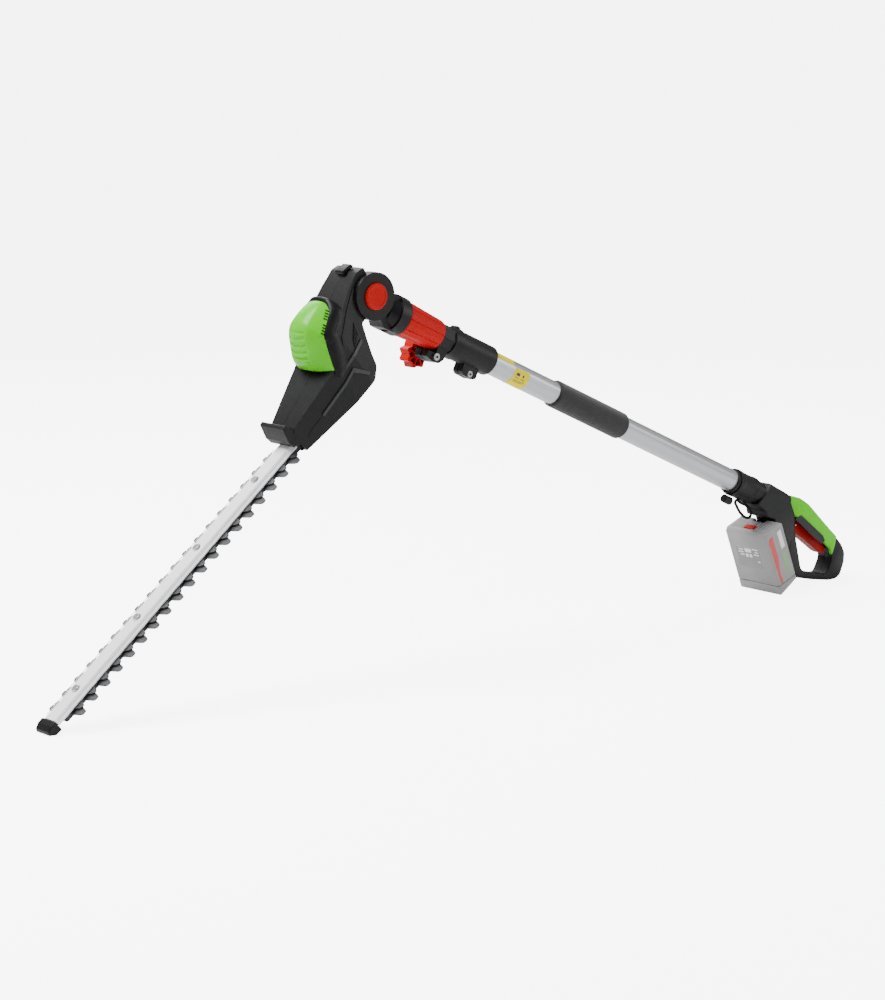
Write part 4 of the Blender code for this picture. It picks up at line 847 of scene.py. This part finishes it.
class TRIMMER_OT_battery(bpy.types.Operator):
    """Finishes the battery pack: its pale case, top ridges coloured lighter as painted light, side stripes and lower
    step
    """
    bl_idname = "trimmer.battery"
    bl_label = "Battery"

    def execute(self, context):
        battery = context.scene.trimmer_battery
        pale = moulded("battery_pale", tuple(battery.pale), 0.40, 0.0008, 0.00004, tone=0.04, place=BATTERY)
        # Painted light: the top ridges are a lighter copy of the case colour, so the top reads as lit from above.
        lit_ridge = moulded("battery_ridge_painted_light", shaded(tuple(battery.pale), 1.30), 0.42, 0.0008, 0.00004, tone=0.04)
        dim = moulded("battery_label_grey", shaded(tuple(battery.pale), 0.88), 0.42, 0.0008, 0.00004, tone=0.04)
        for name in ("battery_case", "battery_base"):
            refined(name, pale, 0.0008, 2, 50)
        paint(moulded("cell_green", (0.05, 0.16, 0.09), 0.4), "battery_cells")
        low, high = CASE_LOW, CASE_HIGH
        bm = bmesh.new()
        span = high.y - low.y
        for i in range(battery.ridges):
            y = low.y + span * (0.10 + 0.075 * i)
            box(bm, (low.x + 0.0060, y - 0.0011, high.z - 0.0004), (high.x - 0.0100, y + 0.0011, high.z + 0.0006))
        for i in range(battery.ridges):
            y = low.y + span * (0.68 + 0.055 * i)
            box(bm, (low.x + 0.0070, y - 0.0010, high.z - 0.0004), (high.x - 0.0100, y + 0.0010, high.z + 0.0006))
        new_piece("battery_ridges", bm, BATTERY, "battery", lit_ridge, bevel=0.0003)
        stripe_red = moulded("stripe_red", (0.50, 0.075, 0.080), 0.42, tone=0.04)
        stripe_white = moulded("stripe_white", (0.70, 0.70, 0.70), 0.42, tone=0.04)
        stripe_green = moulded("stripe_green", (0.20, 0.36, 0.17), 0.42, tone=0.04)
        deep = high.z - low.z

        def stripe(name, points, side, look):
            """A printed stripe on a side face: points are shares of the face's width and depth."""
            bm = bmesh.new()
            wall = (low.y if side < 0 else high.y)
            outline = [(low.x + (high.x - low.x) * u, high.z - deep * w) for u, w in points]
            face = bm.faces.new([bm.verts.new((x, wall - side * 0.0003, z)) for x, z in outline])
            grown = bmesh.ops.extrude_face_region(bm, geom=[face])
            bmesh.ops.translate(bm, vec=(0, side * 0.00045, 0),
                                verts=[g for g in grown["geom"] if isinstance(g, bmesh.types.BMVert)])
            new_piece(name, bm, BATTERY, "battery", look)

        for side, label in ((1, "left"), (-1, "right")):
            stripe("stripe_red_" + label, [(0.10, 0.12), (0.34, 0.10), (0.36, 0.50), (0.26, 0.80), (0.30, 0.97),
                                           (0.16, 0.97), (0.12, 0.55)], side, stripe_red)
            stripe("stripe_white_" + label, [(0.62, 0.10), (0.82, 0.08), (0.84, 0.40), (0.64, 0.42)], side,
                   stripe_white)
            stripe("stripe_green_" + label, [(0.60, 0.50), (0.78, 0.48), (0.80, 0.86), (0.62, 0.88)], side,
                   stripe_green)
        bm = bmesh.new()
        label_low = Vector((low.x - 0.0002, low.y + span * 0.26, low.z + deep * 0.30))
        box(bm, label_low, (low.x + 0.0004, low.y + span * 0.84, low.z + deep * 0.66))
        new_piece("battery_label", bm, BATTERY, "battery", dim, bevel=0.0002)
        bm = bmesh.new()
        for u, wide, w, tall in ((0.30, 0.14, 0.33, 0.02), (0.30, 0.08, 0.38, 0.02), (0.30, 0.12, 0.43, 0.02),
                                 (0.47, 0.15, 0.34, 0.07), (0.47, 0.06, 0.44, 0.06), (0.56, 0.06, 0.44, 0.06),
                                 (0.66, 0.12, 0.36, 0.02), (0.66, 0.13, 0.41, 0.02), (0.66, 0.10, 0.46, 0.02),
                                 (0.30, 0.06, 0.56, 0.02)):
            box(bm, (low.x - 0.00035, low.y + span * u, high.z - deep * (w + tall)),
                (low.x, low.y + span * (u + wide), high.z - deep * w))
        new_piece("battery_marks", bm, BATTERY, "battery", stripe_white)
        return {"FINISHED"}


class TRIMMER_OT_stage(bpy.types.Operator):
    """Adds the pale floor, the soft studio lights and the camera"""
    bl_idname = "trimmer.stage"
    bl_label = "Stage"

    def execute(self, context):
        stage = context.scene.trimmer_stage
        made, tree, shader, node = shader_for("stage_floor")
        shader.inputs["Base Color"].default_value = (*stage.floor, 1.0)
        shader.inputs["Roughness"].default_value = 0.9
        shader.inputs["Specular IOR Level"].default_value = 0.1
        shader.inputs["Emission Color"].default_value = (1.0, 1.0, 1.0, 1.0)
        seen = node("ShaderNodeLightPath")
        glow = node("ShaderNodeMath", {"operation": "MULTIPLY"}, i0=seen.outputs["Is Camera Ray"], i1=stage.glow)
        tree.links.new(glow.outputs[0], shader.inputs["Emission Strength"])
        bm = bmesh.new()
        bmesh.ops.create_grid(bm, x_segments=1, y_segments=1, size=300.0)
        mesh = bpy.data.meshes.new("stage_floor")
        bm.to_mesh(mesh)
        bm.free()
        mesh.materials.append(made)
        floor = bpy.data.objects.new("stage_floor", mesh)
        context.scene.collection.objects.link(floor)
        floor.location.z = -0.0002
        world = bpy.data.worlds.new("studio")
        world.use_nodes = True
        world.node_tree.nodes["Background"].inputs["Color"].default_value = (1.0, 1.0, 1.0, 1.0)
        world.node_tree.nodes["Background"].inputs["Strength"].default_value = stage.sky
        context.scene.world = world
        target = HINGE + Vector((0.15, 0.0, -0.20))
        for name, at, size, power in (("key_softbox", (-1.3, 0.5, 2.4), 1.2, stage.key),
                                      ("fill_softbox", (1.6, -1.6, 1.2), 1.4, stage.fill),
                                      ("rim_softbox", (0.6, 1.9, 1.8), 1.4, stage.fill)):
            light = bpy.data.lights.new(name, "AREA")
            light.size = size
            light.energy = power
            holder = bpy.data.objects.new(name, light)
            context.scene.collection.objects.link(holder)
            holder.location = at
            holder.rotation_euler = (target - Vector(at)).to_track_quat("-Z", "Y").to_euler()
        camera = bpy.data.cameras.new("camera")
        camera.sensor_width = 36.0
        camera.lens = 100.8
        camera.clip_end = 1000.0
        holder = bpy.data.objects.new("camera", camera)
        context.scene.collection.objects.link(holder)
        holder.location = HINGE + Vector((-2.0976, -2.5973, 0.3564))
        holder.rotation_euler = (math.radians(90 - 10.294), 0.0, math.radians(-40.618))
        context.scene.camera = holder
        return {"FINISHED"}


class TRIMMER_PT_panel(bpy.types.Panel):
    bl_idname = "TRIMMER_PT_panel"
    bl_label = "Pole hedge trimmer"
    bl_space_type = "VIEW_3D"
    bl_region_type = "UI"
    bl_category = "Trimmer"

    def draw(self, context):
        for group in GROUPS:
            box_area = self.layout.box()
            settings = getattr(context.scene, group)
            for key in settings.__annotations__:
                box_area.prop(settings, key)
        for operator in OPERATORS:
            self.layout.operator(operator.bl_idname)


GROUPS = {"trimmer_shell": ShellSettings, "trimmer_cover": CoverSettings, "trimmer_control": ControlSettings,
          "trimmer_pole": PoleSettings, "trimmer_blade": BladeSettings, "trimmer_battery": BatterySettings,
          "trimmer_stage": StageSettings}
OPERATORS = (TRIMMER_OT_stage, TRIMMER_OT_head_shells, TRIMMER_OT_motor_cover, TRIMMER_OT_controls,
             TRIMMER_OT_pole, TRIMMER_OT_blades, TRIMMER_OT_handle, TRIMMER_OT_battery)


def register():
    for name, group in GROUPS.items():
        bpy.utils.register_class(group)
        setattr(bpy.types.Scene, name, PointerProperty(type=group))
    for operator in OPERATORS:
        bpy.utils.register_class(operator)
    bpy.utils.register_class(TRIMMER_PT_panel)


def unregister():
    bpy.utils.unregister_class(TRIMMER_PT_panel)
    for operator in reversed(OPERATORS):
        bpy.utils.unregister_class(operator)
    for name, group in GROUPS.items():
        delattr(bpy.types.Scene, name)
        bpy.utils.unregister_class(group)


def main():
    for obj in list(bpy.data.objects):
        if obj.type in ("CAMERA", "LIGHT") or obj.name == "Cube":
            bpy.data.objects.remove(obj, do_unlink=True)
    register()
    for operator in OPERATORS:
        group, name = operator.bl_idname.split(".")
        getattr(getattr(bpy.ops, group), name)()


if __name__ == "__main__":
    main()
